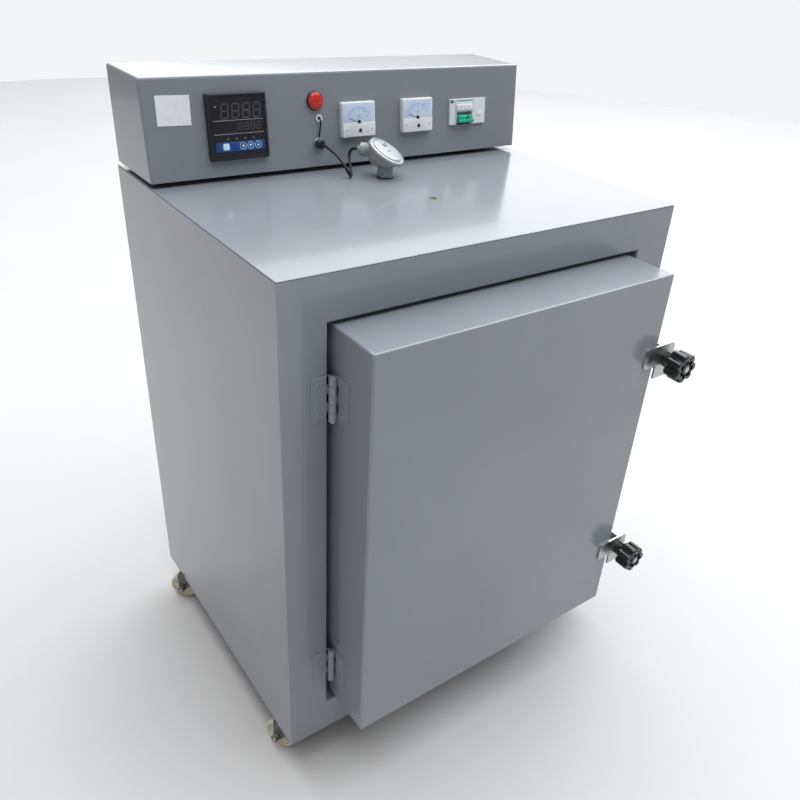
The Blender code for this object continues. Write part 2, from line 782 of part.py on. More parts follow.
def build_clamp(where, centre):
    """The star knob's stud goes through the door's plate and the cabinet's bracket into the bracket's nut."""
    stud = Vector((STUD_X - HINGE_X, -HINGE_Y, centre))
    middle = STUD_X + LUG_END - LUG_LENGTH / 2 - HINGE_X
    lug = outline(
        f"clamp_{where}_lug",
        rounded_rectangle(LUG_LENGTH, LUG_HEIGHT, LUG_CORNER),
        LUG_THICK,
        ZINC,
        DOOR,
        (middle, -HINGE_Y - DOOR_PROUD - GAP - LUG_THICK / 2, centre + LUG_RAISE),
        FORWARD,
    )
    hole = rod(
        f"{where}_lug_hole", STUD_RADIUS + STUD_PLAY, 2 * DRILL_END, None, DOOR,
        stud + Vector((0, DRILL_END - DOOR_PROUD, 0)), FORWARD,
    )
    cut(lug, hole)
    build_bracket(where, centre)
    axis = empty(f"clamp_{where}_axis", stud, DOOR)
    tip = -(DOOR_PROUD - STUD_ENTRY)
    rod(f"clamp_{where}_stud", STUD_RADIUS, FRONT_END + tip, ZINC, axis, (0, tip, 0), FORWARD)
    place = (0, -KNOB_FRONT + KNOB_THICK / 2, 0)
    knob = outline(f"clamp_{where}_knob", star_outline(), KNOB_THICK, BLACK, axis, place, FORWARD)
    bevel(knob, KNOB_EDGE, 2)
    hub = rod(f"{where}_hub", HUB_RADIUS, HUB_LENGTH + KNOB_EDGE, None, axis, (0, -KNOB_BACK, 0), FORWARD)
    join(knob, hub)
    bore = rod(
        f"{where}_knob_bore", STUD_RADIUS + GAP, HUB_LENGTH + KNOB_THICK + 2 * DRILL_END, None, axis,
        (0, DRILL_END - KNOB_BACK, 0), FORWARD,
    )
    cut(knob, bore)


def build_bracket(where, centre):
    """A channel from the cabinet's front out to the door's face, with a nut welded behind its flange."""
    left = DOOR_RIGHT + BRACKET_CLEARANCE
    right = DOOR_RIGHT + BRACKET_REACH
    face = -DOOR_PROUD
    bracket = outline(
        f"clamp_{where}_bracket",
        folded_strip(
            [(left, face), (right, face), (right, -GAP), (right - BRACKET_FOOT, -GAP)],
            BRACKET_THICK,
            BRACKET_BEND,
        ),
        BRACKET_HEIGHT,
        ZINC,
        FRAME,
        (0, 0, centre - BRACKET_LOWER),
    )
    flange = face + BRACKET_THICK
    nut = rod(
        f"{where}_nut", NUT_RADIUS, NUT_THICK + LAP, None, FRAME,
        (STUD_X, flange + NUT_THICK, centre), FORWARD, 6,
    )
    join(bracket, nut)
    bore = rod(
        f"{where}_nut_bore", STUD_RADIUS + NUT_PLAY, NUT_THICK + BRACKET_THICK + 2 * DRILL_END, None, FRAME,
        (STUD_X, flange + NUT_THICK + DRILL_END, centre), FORWARD,
    )
    cut(bracket, bore)


def build_control_box():
    """A sheet shell with a sloped front, open below, closed by a base that stands on two feet."""
    shape = bmesh.new()
    bmesh.ops.create_cube(shape, size=1.0)
    for vert in shape.verts:
        front = BOX_FRONT_TOP if vert.co.z > 0 else BOX_FRONT_LOW
        y = front if vert.co.y < 0 else BOX_REAR
        vert.co = (WIDTH * (vert.co.x + 0.5), y, BOX_LOW + BOX_HEIGHT * (vert.co.z + 0.5))
    bmesh.ops.delete(shape, geom=[f for f in shape.faces if f.normal.z < -0.9], context="FACES")
    mesh = bpy.data.meshes.new("control_box")
    shape.to_mesh(mesh)
    shape.free()
    shell = mesh_object("control_box", mesh, ENAMEL, FRAME)
    bevel(shell, BEND, 2)
    thicken(shell, BOX_SHEET)
    inner = BOX_SHEET + (BEND - BOX_SHEET) * 0.3 + GAP
    base = block(
        "control_box_base",
        (inner, BOX_FRONT_LOW + inner + BOX_SHEET * math.tan(PANEL_SLOPE) + LAP, BOX_LOW),
        (WIDTH - inner, BOX_REAR - inner, BOX_LOW + BOX_SHEET),
        ENAMEL,
        FRAME,
    )
    for side, x in (("left", FOOT_INSET), ("right", WIDTH - FOOT_INSET)):
        foot = block(
            side + "_foot",
            (x - FOOT_WIDTH / 2, BOX_FRONT_LOW + FOOT_FRONT, HEIGHT + GAP),
            (x + FOOT_WIDTH / 2, BOX_REAR - FOOT_REAR, BOX_LOW + LAP),
            None,
            FRAME,
        )
        join(base, foot)
    return shell


def panel_places():
    """Each instrument's middle on the panel, from its left lower corner: the spaces stretch with the box's width."""
    widths = sum(width for name, space, width in PANEL_ORDER)
    spaces = sum(space for name, space, width in PANEL_ORDER) + PANEL_END
    stretch = (WIDTH - widths) / spaces
    across = {}
    x = 0.0
    for name, space, width in PANEL_ORDER:
        x += space * stretch + width / 2
        across[name] = x
        x += width / 2
    lamp = across["lamp"]
    breaker = across["breaker"]
    middle = PANEL_MIDDLE
    return {
        "controller": (across["controller"], middle),
        "lamp": (lamp, middle + LAMP_UP),
        "bushing": (lamp + BUSHING_ASIDE, middle + BUSHING_UP),
        "gland": (lamp + GLAND_ASIDE, middle + GLAND_UP),
        "left_meter": (across["left_meter"], middle + METER_UP),
        "right_meter": (across["right_meter"], middle + METER_UP),
        "breaker": (breaker, middle + BREAKER_UP),
        "toggle": (breaker + TOGGLE_ASIDE, middle + BREAKER_UP + TOGGLE_UP),
    }


def window(shell, name, at, width, height):
    """A square hole through the panel's sheet."""
    low = (at[0] - width / 2, -DRILL_END, at[1] - height / 2)
    high = (at[0] + width / 2, DRILL_END, at[1] + height / 2)
    cut(shell, block(name, low, high, None, PANEL))


def port(shell, name, at, radius):
    """A round hole through the panel's sheet."""
    cut(shell, rod(name, radius, 2 * DRILL_END, None, PANEL, (at[0], DRILL_END, at[1]), FORWARD))


def bezel(name, at, width, height, proud, material, edge, back=-GAP):
    """A flat housing in front of the panel."""
    low = (at[0] - width / 2, -GAP - proud, at[1] - height / 2)
    high = (at[0] + width / 2, back, at[1] + height / 2)
    return block(name, low, high, material, PANEL, edge)


def build_controller(shell, at):
    side = CONTROLLER_BODY + 2 * GAP
    window(shell, "controller_window", at, side, side)
    front = bezel(
        "temperature_controller", at, CONTROLLER_SIZE, CONTROLLER_SIZE, CONTROLLER_PROUD, BLACK, CONTROLLER_EDGE
    )
    half = CONTROLLER_BODY / 2
    body = block(
        "controller_body",
        (at[0] - half, -CONTROLLER_PROUD / 2, at[1] - half),
        (at[0] + half, CONTROLLER_DEEP, at[1] + half),
        None,
        PANEL,
    )
    join(front, body)


def build_meter(shell, side, at):
    port(shell, side + "_meter_port", at, METER_DRUM + GAP)
    face = bezel(side + "_panel_meter", at, METER_WIDTH, METER_HEIGHT, METER_PROUD, WHITE, METER_EDGE)
    drum = rod(
        side + "_meter_drum", METER_DRUM, METER_DEEP + METER_PROUD / 2, None, PANEL,
        (at[0], METER_DEEP, at[1]), FORWARD,
    )
    join(face, drum)


def build_breaker(shell, at, toggle_at):
    """A breaker in its window, with a twin handle on a cross shaft in a well of its face."""
    window(shell, "breaker_window", at, BREAKER_WIDTH + 2 * GAP, BREAKER_HEIGHT + 2 * GAP)
    breaker = bezel(
        "circuit_breaker", at, BREAKER_WIDTH, BREAKER_HEIGHT, BREAKER_PROUD, WHITE, BREAKER_EDGE, BREAKER_DEEP
    )
    half_width = TOGGLE_WIDTH / 2
    room = half_width + TOGGLE_SIDE_PLAY
    well = block(
        "toggle_well",
        (toggle_at[0] - room, -2 * DRILL_END, toggle_at[1] - TOGGLE_WELL),
        (toggle_at[0] + room, TOGGLE_WELL_DEEP, toggle_at[1] + TOGGLE_WELL),
        None,
        PANEL,
    )
    cut(breaker, well)
    pivot = empty("toggle_axis", (toggle_at[0], TOGGLE_SINK, toggle_at[1]), PANEL)
    half_shaft = half_width + TOGGLE_SHAFT_REACH
    bearing = rod(
        "toggle_bearing", TOGGLE_SHAFT + PIN_PLAY, 2 * (half_shaft + GAP), None, pivot,
        (-half_shaft - GAP, 0, 0), SIDEWAYS, 16,
    )
    cut(breaker, bearing)
    toggle = rod("breaker_toggle", TOGGLE_RADIUS, TOGGLE_WIDTH, GREEN, pivot, (-half_width, 0, 0), SIDEWAYS)
    shaft = rod("toggle_shaft", TOGGLE_SHAFT, 2 * half_shaft, None, pivot, (-half_shaft, 0, 0), SIDEWAYS, 16)
    lever = block(
        "toggle_lever", (-half_width, -LEVER_REACH, -LEVER_LOW), (half_width, 0, -LEVER_HIGH), None, pivot
    )
    join(toggle, shaft, lever)


def build_lamp(shell, at):
    port(shell, "lamp_port", at, LAMP_BODY + GAP)
    chamfer = LAMP_PROUD / 4
    turned(
        "pilot_lamp",
        [(0, LAMP_PROUD), (LAMP_RADIUS - chamfer, LAMP_PROUD), (LAMP_RADIUS, LAMP_PROUD - chamfer),
         (LAMP_RADIUS, 0), (LAMP_BODY, 0), (LAMP_BODY, -LAMP_DEEP), (0, -LAMP_DEEP)],
        BLACK, PANEL, (at[0], -GAP, at[1]), FORWARD, 24,
    )
    crown = [math.radians(15 * i) for i in range(1, 6)]
    dome = [(LENS_RADIUS * math.sin(turn), LENS_PROUD * (0.3 + 0.7 * math.cos(turn))) for turn in crown]
    turned(
        "pilot_lamp_lens",
        [(0, LENS_PROUD), *dome, (LENS_RADIUS, LENS_PROUD * 0.3), (LENS_RADIUS, 0), (0, 0)],
        RED, PANEL, (at[0], -2 * GAP - LAMP_PROUD, at[1]), FORWARD, 24,
    )


def build_bushing(shell, at):
    port(shell, "bushing_port", at, BUSHING_BODY + GAP)
    chamfer = BUSHING_PROUD / 2
    turned(
        "lead_bushing",
        [(BUSHING_BORE, BUSHING_PROUD), (BUSHING_RADIUS - chamfer, BUSHING_PROUD), (BUSHING_RADIUS, chamfer),
         (BUSHING_RADIUS, 0), (BUSHING_BODY, 0), (BUSHING_BODY, -BUSHING_DEEP), (BUSHING_BORE, -BUSHING_DEEP),
         (BUSHING_BORE, BUSHING_PROUD)],
        WHITE, PANEL, (at[0], -GAP, at[1]), FORWARD, 16,
    )


def build_gland(shell, at):
    port(shell, "gland_port", at, GLAND_BODY + GAP)
    turned(
        "cable_gland",
        [(0, GLAND_PROUD), (GLAND_NOSE, GLAND_PROUD), (GLAND_CAP, GLAND_PROUD - (GLAND_CAP - GLAND_NOSE) * 0.6),
         (GLAND_CAP, GLAND_FLANGE_THICK), (GLAND_FLANGE - GAP, GLAND_FLANGE_THICK),
         (GLAND_FLANGE, GLAND_FLANGE_THICK - 2 * GAP), (GLAND_FLANGE, 0), (GLAND_BODY, 0),
         (GLAND_BODY, -GLAND_DEEP), (0, -GLAND_DEEP)],
        BLACK, PANEL, (at[0], -GAP, at[1]), FORWARD, 16,
    )


def on_panel(place, out):
    """A point in the kiln's frame, from a place on the panel's face and a distance out of it."""
    x, up = place
    cosine = math.cos(PANEL_SLOPE)
    sine = math.sin(PANEL_SLOPE)
    return Vector((x, BOX_FRONT_LOW - out * cosine + up * sine, BOX_LOW + out * sine + up * cosine))


def smooth_route(points, count, rounds=0):
    """Points spread evenly on a Catmull-Rom curve through the given ones. Each round then moves every point
    half way to the middle of its neighbours, but for the two at either end."""
    places = [Vector(point) for point in points]
    places = [places[0] * 2 - places[1]] + places + [places[-1] * 2 - places[-2]]
    steps = 24
    fine = []
    for a, b, c, d in zip(places, places[1:], places[2:], places[3:]):
        for i in range(steps):
            t = i / steps
            bend = (2 * a - 5 * b + 4 * c - d) * t * t + (3 * b - a - 3 * c + d) * t * t * t
            fine.append(0.5 * (2 * b + (c - a) * t + bend))
    fine.append(places[-2])
    lengths = [0.0]
    for a, b in zip(fine, fine[1:]):
        lengths.append(lengths[-1] + (b - a).length)
    even = []
    k = 0
    for i in range(count):
        want = lengths[-1] * i / (count - 1)
        while k < len(lengths) - 2 and lengths[k + 1] < want:
            k += 1
        share = (want - lengths[k]) / (lengths[k + 1] - lengths[k])
        even.append(fine[k].lerp(fine[k + 1], share))
    for _ in range(rounds):
        moved = [(a + 2 * b + c) / 4 for a, b, c in zip(even[1:], even[2:], even[3:])]
        even[2:-2] = moved[:-1]
    return even


def build_lead(bushing, gland):
    """The short lead from the bushing down the panel to the gland's flange."""
    end = (gland[0], gland[1] + GLAND_FLANGE + LEAD_RADIUS / 2)
    half = ((bushing[0] + gland[0]) / 2, (bushing[1] + gland[1]) / 2)
    route = [
        on_panel(bushing, BUSHING_PROUD + 2 * GAP),
        on_panel((bushing[0], bushing[1] - 0.001), 0.005),
        on_panel((bushing[0] - 0.0008, bushing[1] - 0.008), 0.0062),
        on_panel((half[0], half[1] + 0.004), 0.0045),
        on_panel((end[0], end[1] + GAP), 0.0028),
    ]
    tube("indicator_lead", smooth_route(route, 14), LEAD_RADIUS, BLACK, FRAME)


def build_thermocouple():
    """A head with a sloped lid on a neck, a side branch for the cable, and a sheath down through the roof."""
    x, y = PROBE_AT
    top = NECK_HEIGHT + HEAD_HEIGHT
    head = turned(
        "thermocouple_head",
        [(0, top), (HEAD_RADIUS, top), (HEAD_RADIUS, NECK_HEIGHT + HEAD_RIM),
         (HEAD_RADIUS * 0.85, NECK_HEIGHT + HEAD_SHOULDER), (NECK_RADIUS + LAP, NECK_HEIGHT - LAP),
         (NECK_RADIUS, NECK_HEIGHT - 3 * LAP), (NECK_RADIUS, 0), (0, 0)],
        CAST, FRAME, (x, y, HEIGHT + GAP),
    )
    tilt = empty("lid_seat", (x, y, HEIGHT + NECK_HEIGHT + LID_SEAT), FRAME, (0, LID_TILT, LID_TURN))
    wide = 3 * HEAD_RADIUS
    cut(head, block("head_trim", (-wide, -wide, 0), (wide, wide, wide), None, tilt))
    step = LID_RADIUS * 0.86
    turned(
        "thermocouple_lid",
        [(0, LID_THICK), (step * 0.9, LID_THICK), (step, LID_THICK - 2 * LAP), (step + 2 * LAP, LID_RIM),
         (LID_RADIUS - LAP, LID_RIM), (LID_RADIUS, LID_RIM - LAP), (LID_RADIUS, LAP), (LID_RADIUS - LAP, 0), (0, 0)],
        CAST, tilt, (0, 0, GAP),
    )
    side = Vector((math.cos(BRANCH_TURN), math.sin(BRANCH_TURN), 0))
    lean = (math.pi / 2, 0, BRANCH_TURN + math.pi / 2)
    axis = Vector((x, y, HEIGHT + NECK_HEIGHT + BRANCH_UP))
    root = HEAD_RADIUS * 0.78
    branch = rod("head_branch", BRANCH_RADIUS, BRANCH_END - root, None, FRAME, axis + side * root, lean)
    join(head, branch)
    cut(head, rod("head_bore", PROBE_RADIUS + GAP, PROBE_TOP + GAP + DRILL_END, None, FRAME, (x, y, HEIGHT - DRILL_END)))
    rod(
        "thermocouple_sheath", PROBE_RADIUS, HEIGHT + PROBE_TOP - CHAMBER_TOP + PROBE_REACH, CERAMIC, FRAME,
        (x, y, CHAMBER_TOP - PROBE_REACH),
    )
    seat = axis + side * (BRANCH_END + GAP)
    turned(
        "head_gland",
        [(0, FERRULE_LENGTH), (FERRULE_RADIUS * 0.85, FERRULE_LENGTH), (FERRULE_RADIUS, FERRULE_LENGTH * 0.8),
         (FERRULE_RADIUS, 0), (0, 0)],
        ZINC, FRAME, seat, lean, 20,
    )
    return seat + side * (FERRULE_LENGTH + GAP), side


def build_cable(gland, end, side):
    """The cable from the gland's nose: down to the top sheet in one loop and up again to the head."""
    out = GLAND_PROUD + 2 * GAP
    rest = HEIGHT + CABLE_RADIUS + GAP
    route = [
        on_panel(gland, out),
        on_panel(gland, out + CABLE_STRAIGHT),
        (0.2835, 0.3680, HEIGHT + 0.0420),
        (0.2882, 0.3565, HEIGHT + 0.0365),
        (0.2925, 0.3460, HEIGHT + 0.0285),
        (0.2960, 0.3380, HEIGHT + 0.0200),
        (0.2981, 0.3333, HEIGHT + 0.0125),
        (0.3021, 0.3334, HEIGHT + 0.0050),
        (0.3088, 0.3402, rest - 0.0008),
        (0.3147, 0.3500, HEIGHT + 0.0043),
        (0.3187, 0.3590, HEIGHT + 0.0130),
        (0.3222, 0.3675, HEIGHT + 0.0208),
        (0.3236, 0.3734, HEIGHT + 0.0300),
        (0.3270, 0.3702, HEIGHT + 0.0392),
        end + side * CABLE_STRAIGHT,
        end,
    ]
    tube("thermocouple_cable", smooth_route(route, 30, 3), CABLE_RADIUS, BLACK, FRAME)


def build_caster(name, place):
    """A fork that turns on the pad, and a wheel between its cheeks, behind the turning axis."""
    pivot = empty(name + "_caster_axis", (*place, 0), FRAME, (0, 0, math.radians(CASTER_TURNS[name])))
    top = -PAD_THICK - GAP
    axle = WHEEL_RADIUS - CASTER_HEIGHT
    cheek = WHEEL_WIDTH / 2 + FORK_PLAY
    outer = cheek + FORK_PLATE
    under = top - RACE_HEIGHT
    crown = block(
        name + "_caster_fork",
        (-outer, -CASTER_TRAIL - CHEEK_RADIUS, under - CROWN_THICK + LAP),
        (outer, CROWN_FRONT, under + LAP),
        STEEL,
        pivot,
    )
    join(crown, rod(name + "_race", RACE_RADIUS, RACE_HEIGHT, None, pivot, (0, 0, under)))
    for side in (-1, 1):
        plate = outline(
            f"{name}_cheek_{side}",
            cheek_outline(axle, under),
            FORK_PLATE,
            None,
            pivot,
            (side * (cheek + FORK_PLATE / 2), 0, 0),
            (math.pi / 2, 0, math.pi / 2),
        )
        join(crown, plate)
        start = outer - LAP if side > 0 else -BOLT_END
        head = rod(
            f"{name}_bolt_{side}", BOLT_HEAD, BOLT_END - outer + LAP, None, pivot,
            (start, -CASTER_TRAIL, axle), SIDEWAYS, 6,
        )
        join(crown, head)
    join(crown, rod(name + "_axle", AXLE_RADIUS, 2 * outer, None, pivot, (-outer, -CASTER_TRAIL, axle), SIDEWAYS, 16))
    hub = empty(name + "_wheel_axis", (0, -CASTER_TRAIL, axle), pivot)
    turned(name + "_caster_wheel", wheel_profile(), NYLON, hub, (0, 0, 0), SIDEWAYS, 24)


def cheek_outline(axle, top):
    """The fork's side in (Y, Z): upright at the back, round about the axle, sloped up to the front."""
    nose = arc((-CASTER_TRAIL, axle), CHEEK_RADIUS, 180, 330, 6)
    return [(-CASTER_TRAIL - CHEEK_RADIUS, top), *nose, (CROWN_FRONT, top)]


def wheel_profile():
    """A solid wheel with a bored hub, a dished web and a tread with rounded shoulders."""
    half = WHEEL_WIDTH / 2
    web = half - WHEEL_DISH
    bore = AXLE_RADIUS + AXLE_PLAY
    hub = WHEEL_RADIUS * 0.3
    rim = WHEEL_RADIUS * 0.8
    shoulder = WHEEL_RADIUS - WHEEL_DISH
    right = [(bore, half), (hub, half), (hub + WHEEL_DISH / 2, web), (rim, web), (rim + WHEEL_DISH / 2, half),
             (shoulder, half), (WHEEL_RADIUS, web)]
    return right + [(radius, -height) for radius, height in right[::-1]] + right[:1]


build_cabinet()
build_base()
build_front()
build_lining()
build_door()
for where, centre in HINGE_CENTRES.items():
    build_hinge(where, centre)
for where, centre in CLAMP_CENTRES.items():
    build_clamp(where, centre)
box_shell = build_control_box()
panel_at = panel_places()
build_controller(box_shell, panel_at["controller"])
build_meter(box_shell, "left", panel_at["left_meter"])
build_meter(box_shell, "right", panel_at["right_meter"])
build_breaker(box_shell, panel_at["breaker"], panel_at["toggle"])
build_lamp(box_shell, panel_at["lamp"])
build_bushing(box_shell, panel_at["bushing"])
build_gland(box_shell, panel_at["gland"])
build_lead(panel_at["bushing"], panel_at["gland"])
cable_end, cable_side = build_thermocouple()
build_cable(panel_at["gland"], cable_end, cable_side)
for caster, place in caster_places().items():
    build_caster(caster, place)
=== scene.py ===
# Looks of the electric pottery kiln: camera, light, floor, materials and fine pieces.
# Metres, +Z up, door towards -Y, floor at zero. The control panel has its own frame: across, up, out.

import json
import math

import bmesh
import bpy
import numpy as np
from mathutils import Matrix, Vector


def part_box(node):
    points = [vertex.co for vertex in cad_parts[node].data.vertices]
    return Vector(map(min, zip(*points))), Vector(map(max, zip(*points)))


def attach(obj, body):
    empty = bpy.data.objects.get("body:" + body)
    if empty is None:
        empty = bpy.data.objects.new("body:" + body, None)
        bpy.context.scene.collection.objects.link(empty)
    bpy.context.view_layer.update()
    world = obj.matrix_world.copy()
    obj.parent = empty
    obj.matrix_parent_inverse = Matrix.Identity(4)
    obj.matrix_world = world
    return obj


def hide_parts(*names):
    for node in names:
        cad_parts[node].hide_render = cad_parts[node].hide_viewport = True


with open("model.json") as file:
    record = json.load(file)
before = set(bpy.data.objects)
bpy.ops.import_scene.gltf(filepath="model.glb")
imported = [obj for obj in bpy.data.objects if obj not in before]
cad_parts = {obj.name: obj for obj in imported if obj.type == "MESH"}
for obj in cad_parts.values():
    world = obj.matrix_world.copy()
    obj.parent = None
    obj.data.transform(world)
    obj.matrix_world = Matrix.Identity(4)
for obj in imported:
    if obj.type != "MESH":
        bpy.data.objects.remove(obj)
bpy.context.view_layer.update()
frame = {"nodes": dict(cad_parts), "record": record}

print("frame loaded")

# Camera: found from the photograph's edges, with a long look down on the top and the left side
cameraSet = {
    "place": (-0.72079, -0.95417, 1.24423),
    "forward": (0.53348, 0.67411, -0.51086),
    "right": (0.80582, -0.58861, 0.06479),
    "up": (0.25702, 0.44623, 0.85722),
    "lens": 34.93,
    "sensor": 36.0,
    "nearest": 0.01,
    "shift": (-0.0293, -0.0004),
}


# the camera's own axes, right, up and backwards, are the columns of its turn
def addCamera():
    data = bpy.data.cameras.new("camera")
    data.lens = cameraSet["lens"]
    data.sensor_width = cameraSet["sensor"]
    data.shift_x, data.shift_y = cameraSet["shift"]
    data.clip_start = cameraSet["nearest"]
    camera = bpy.data.objects.new("camera", data)
    bpy.context.scene.collection.objects.link(camera)
    back = [-v for v in cameraSet["forward"]]
    turn = Matrix((cameraSet["right"], cameraSet["up"], back)).transposed()
    camera.matrix_world = Matrix.Translation(cameraSet["place"]) @ turn.to_4x4()
    bpy.context.scene.camera = camera


addCamera()


# Surfaces: every shape is a pair, an array of points and a list of faces.
# A grid of points turned into quads between neighbours; a closed way joins its last line to its first
def gridShape(points, closedRows=False, closedColumns=False, caps=False):
    rows, columns = points.shape[:2]
    r = np.arange(rows if closedRows else rows - 1)[:, None]
    c = np.arange(columns if closedColumns else columns - 1)[None, :]
    r2 = (r + 1) % rows
    c2 = (c + 1) % columns
    corners = np.stack([r * columns + c, r * columns + c2, r2 * columns + c2, r2 * columns + c], -1)
    faces = corners.reshape(-1, 4).tolist()
    if caps:
        faces.append(list(range(columns)))
        faces.append(list(range((rows - 1) * columns, rows * columns)))
    return points.reshape(-1, 3), faces


# a profile of (radius, height) turned about the third axis: x = r cos t, y = r sin t, z = h
def turnedShape(profile, steps=48, closed=False):
    profile = np.array(profile, float)
    turns = np.linspace(0, 2 * np.pi, steps, endpoint=False)[:, None]
    radius, height = profile[:, 0], profile[:, 1]
    points = np.stack([radius * np.cos(turns), radius * np.sin(turns), height + 0 * turns], -1)
    return gridShape(points, closedRows=True, closedColumns=closed)


# rounded rectangles (half width, half height, corner radius, height) stacked along the third axis: each corner
# is a quarter circle about a centre that lies one radius in from both sides
def loftShape(rings, perCorner=6):
    rings = np.array(rings, float)
    quarter = np.linspace(0, np.pi / 2, perCorner)
    turns = (quarter[None, :] + np.arange(4)[:, None] * np.pi / 2).ravel()
    signX = np.repeat([1, -1, -1, 1], perCorner)
    signY = np.repeat([1, 1, -1, -1], perCorner)
    x = signX * (rings[:, :1] - rings[:, 2:3]) + rings[:, 2:3] * np.cos(turns)
    y = signY * (rings[:, 1:2] - rings[:, 2:3]) + rings[:, 2:3] * np.sin(turns)
    points = np.stack([x, y, rings[:, 3:4] + 0 * x], -1)
    return gridShape(points, closedColumns=True, caps=True)


# a rounded slab between two heights, its top and bottom edges eased by a quarter circle of small radius
def slabShape(halfWidth, halfHeight, corner, low, high, ease=0.0003):
    turns = np.linspace(0, np.pi / 2, 4)
    inset = ease * (1 - np.sin(turns))
    rise = ease * (1 - np.cos(turns))
    rings = [(halfWidth - i, halfHeight - i, max(corner - i, 1e-5), low + r)
             for i, r in zip(inset, rise)]
    rings += [(halfWidth - i, halfHeight - i, max(corner - i, 1e-5), high - r)
              for i, r in zip(inset[::-1], rise[::-1])]
    return loftShape(rings)


# a circle of the given radius carried along a path: path + radius (first cos t + second sin t), both square
# to the path, and first also square to a side that is never along it
def tubeShape(path, radius, side, sides=20):
    path = np.array(path, float)
    ahead = np.gradient(path, axis=0)
    ahead /= np.linalg.norm(ahead, axis=1, keepdims=True)
    first = np.cross(ahead, np.array(side, float))
    first /= np.linalg.norm(first, axis=1, keepdims=True)
    second = np.cross(ahead, first)
    turns = np.linspace(0, 2 * np.pi, sides, endpoint=False)
    ring = first[:, None] * np.cos(turns)[:, None] + second[:, None] * np.sin(turns)[:, None]
    return gridShape(path[:, None] + radius * ring, closedColumns=True, caps=True)


# many upright bars at once between two heights: each box's corners are turned, then moved to its middle
def barsShape(middles, halves, turns, low, high):
    middles = np.array(middles, float)
    halves = np.array(halves, float) + 0 * middles
    turns = np.array(turns, float) + 0 * middles[:, 0]
    corner = np.array([(-1, -1), (1, -1), (1, 1), (-1, 1)], float)
    local = corner[None] * halves[:, None]
    cosine, sine = np.cos(turns)[:, None], np.sin(turns)[:, None]
    x = middles[:, :1] + local[..., 0] * cosine - local[..., 1] * sine
    y = middles[:, 1:] + local[..., 0] * sine + local[..., 1] * cosine
    points = np.stack([np.stack([x, y, x * 0 + z], -1) for z in (low, high)], 1).reshape(-1, 3)
    one = np.array([(3, 2, 1, 0), (4, 5, 6, 7), (0, 1, 5, 4), (1, 2, 6, 5), (2, 3, 7, 6),
                    (3, 0, 4, 7)])
    faces = (one[None] + 8 * np.arange(len(middles))[:, None, None]).reshape(-1, 4).tolist()
    return points, faces


# a flat outline given thickness between two heights
def prismShape(outline, low, high):
    outline = np.array(outline, float)
    points = np.stack([np.column_stack([outline, np.full(len(outline), z)]) for z in (low, high)])
    return gridShape(points, closedColumns=True, caps=True)


# letters or figures as a mesh, centred on zero
def textShape(words, size, low, high):
    curve = bpy.data.curves.new("letters", "FONT")
    curve.body = words
    curve.size = size
    curve.align_x = "CENTER"
    curve.align_y = "CENTER"
    curve.extrude = (high - low) / 2
    drawn = bpy.data.objects.new("letters", curve)
    bpy.context.scene.collection.objects.link(drawn)
    bpy.context.view_layer.update()
    mesh = bpy.data.meshes.new_from_object(drawn.evaluated_get(bpy.context.evaluated_depsgraph_get()))
    points = np.empty(len(mesh.vertices) * 3)
    mesh.vertices.foreach_get("co", points)
    faces = [list(face.vertices) for face in mesh.polygons]
    bpy.data.objects.remove(drawn)
    bpy.data.curves.remove(curve)
    bpy.data.meshes.remove(mesh)
    return points.reshape(-1, 3) + (0, 0, (high + low) / 2), faces


# several shapes as one: each one's faces count on from the points before it
def joined(*shapes):
    points, faces, count = [], [], 0
    for some, around in shapes:
        points.append(some)
        faces += [[v + count for v in face] for face in around]
        count += len(some)
    return np.concatenate(points), faces


# a shape shifted by a vector
def moved(shape, by):
    return shape[0] + np.array(by, float), shape[1]


# a shape put into a frame: origin + x across + y up + z out
def placed(shape, origin, across, up, out):
    axes = np.array([across, up, out], float)
    return np.array(origin, float) + shape[0] @ axes, shape[1]


# every new piece lies at the origin with its place in its mesh, merged and facing outwards, and rides on a body
def addPiece(name, shape, material, body, replaces=(), sharp=35):
    points, faces = shape
    mesh = bpy.data.meshes.new(name)
    mesh.from_pydata(points.tolist(), [], faces)
    work = bmesh.new()
    work.from_mesh(mesh)
    bmesh.ops.remove_doubles(work, verts=work.verts, dist=1e-6)
    bmesh.ops.recalc_face_normals(work, faces=work.faces)
    work.to_mesh(mesh)
    work.free()
    mesh.shade_smooth()
    mesh.set_sharp_from_angle(angle=math.radians(sharp))
    mesh.materials.append(material)
    piece = bpy.data.objects.new(name, mesh)
    bpy.context.scene.collection.objects.link(piece)
    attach(piece, body)
    if replaces:
        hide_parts(*replaces)
    return piece



# sRGB hex to linear
def tone(code):
    parts = [int(code[i:i + 2], 16) / 255 for i in (1, 3, 5)]
    return (*[v / 12.92 if v <= 0.04045 else ((v + 0.055) / 1.055) ** 2.4 for v in parts], 1.0)


# one node with its settings; an input is a value, or a socket to link from
def addNode(tree, kind, settings=None, inputs=None):
    node = tree.nodes.new(kind)
    for key, value in (settings or {}).items():
        setattr(node, key, value)
    for key, value in (inputs or {}).items():
        if isinstance(value, bpy.types.NodeSocket):
            tree.links.new(value, node.inputs[key])
        else:
            node.inputs[key].default_value = value
    return node


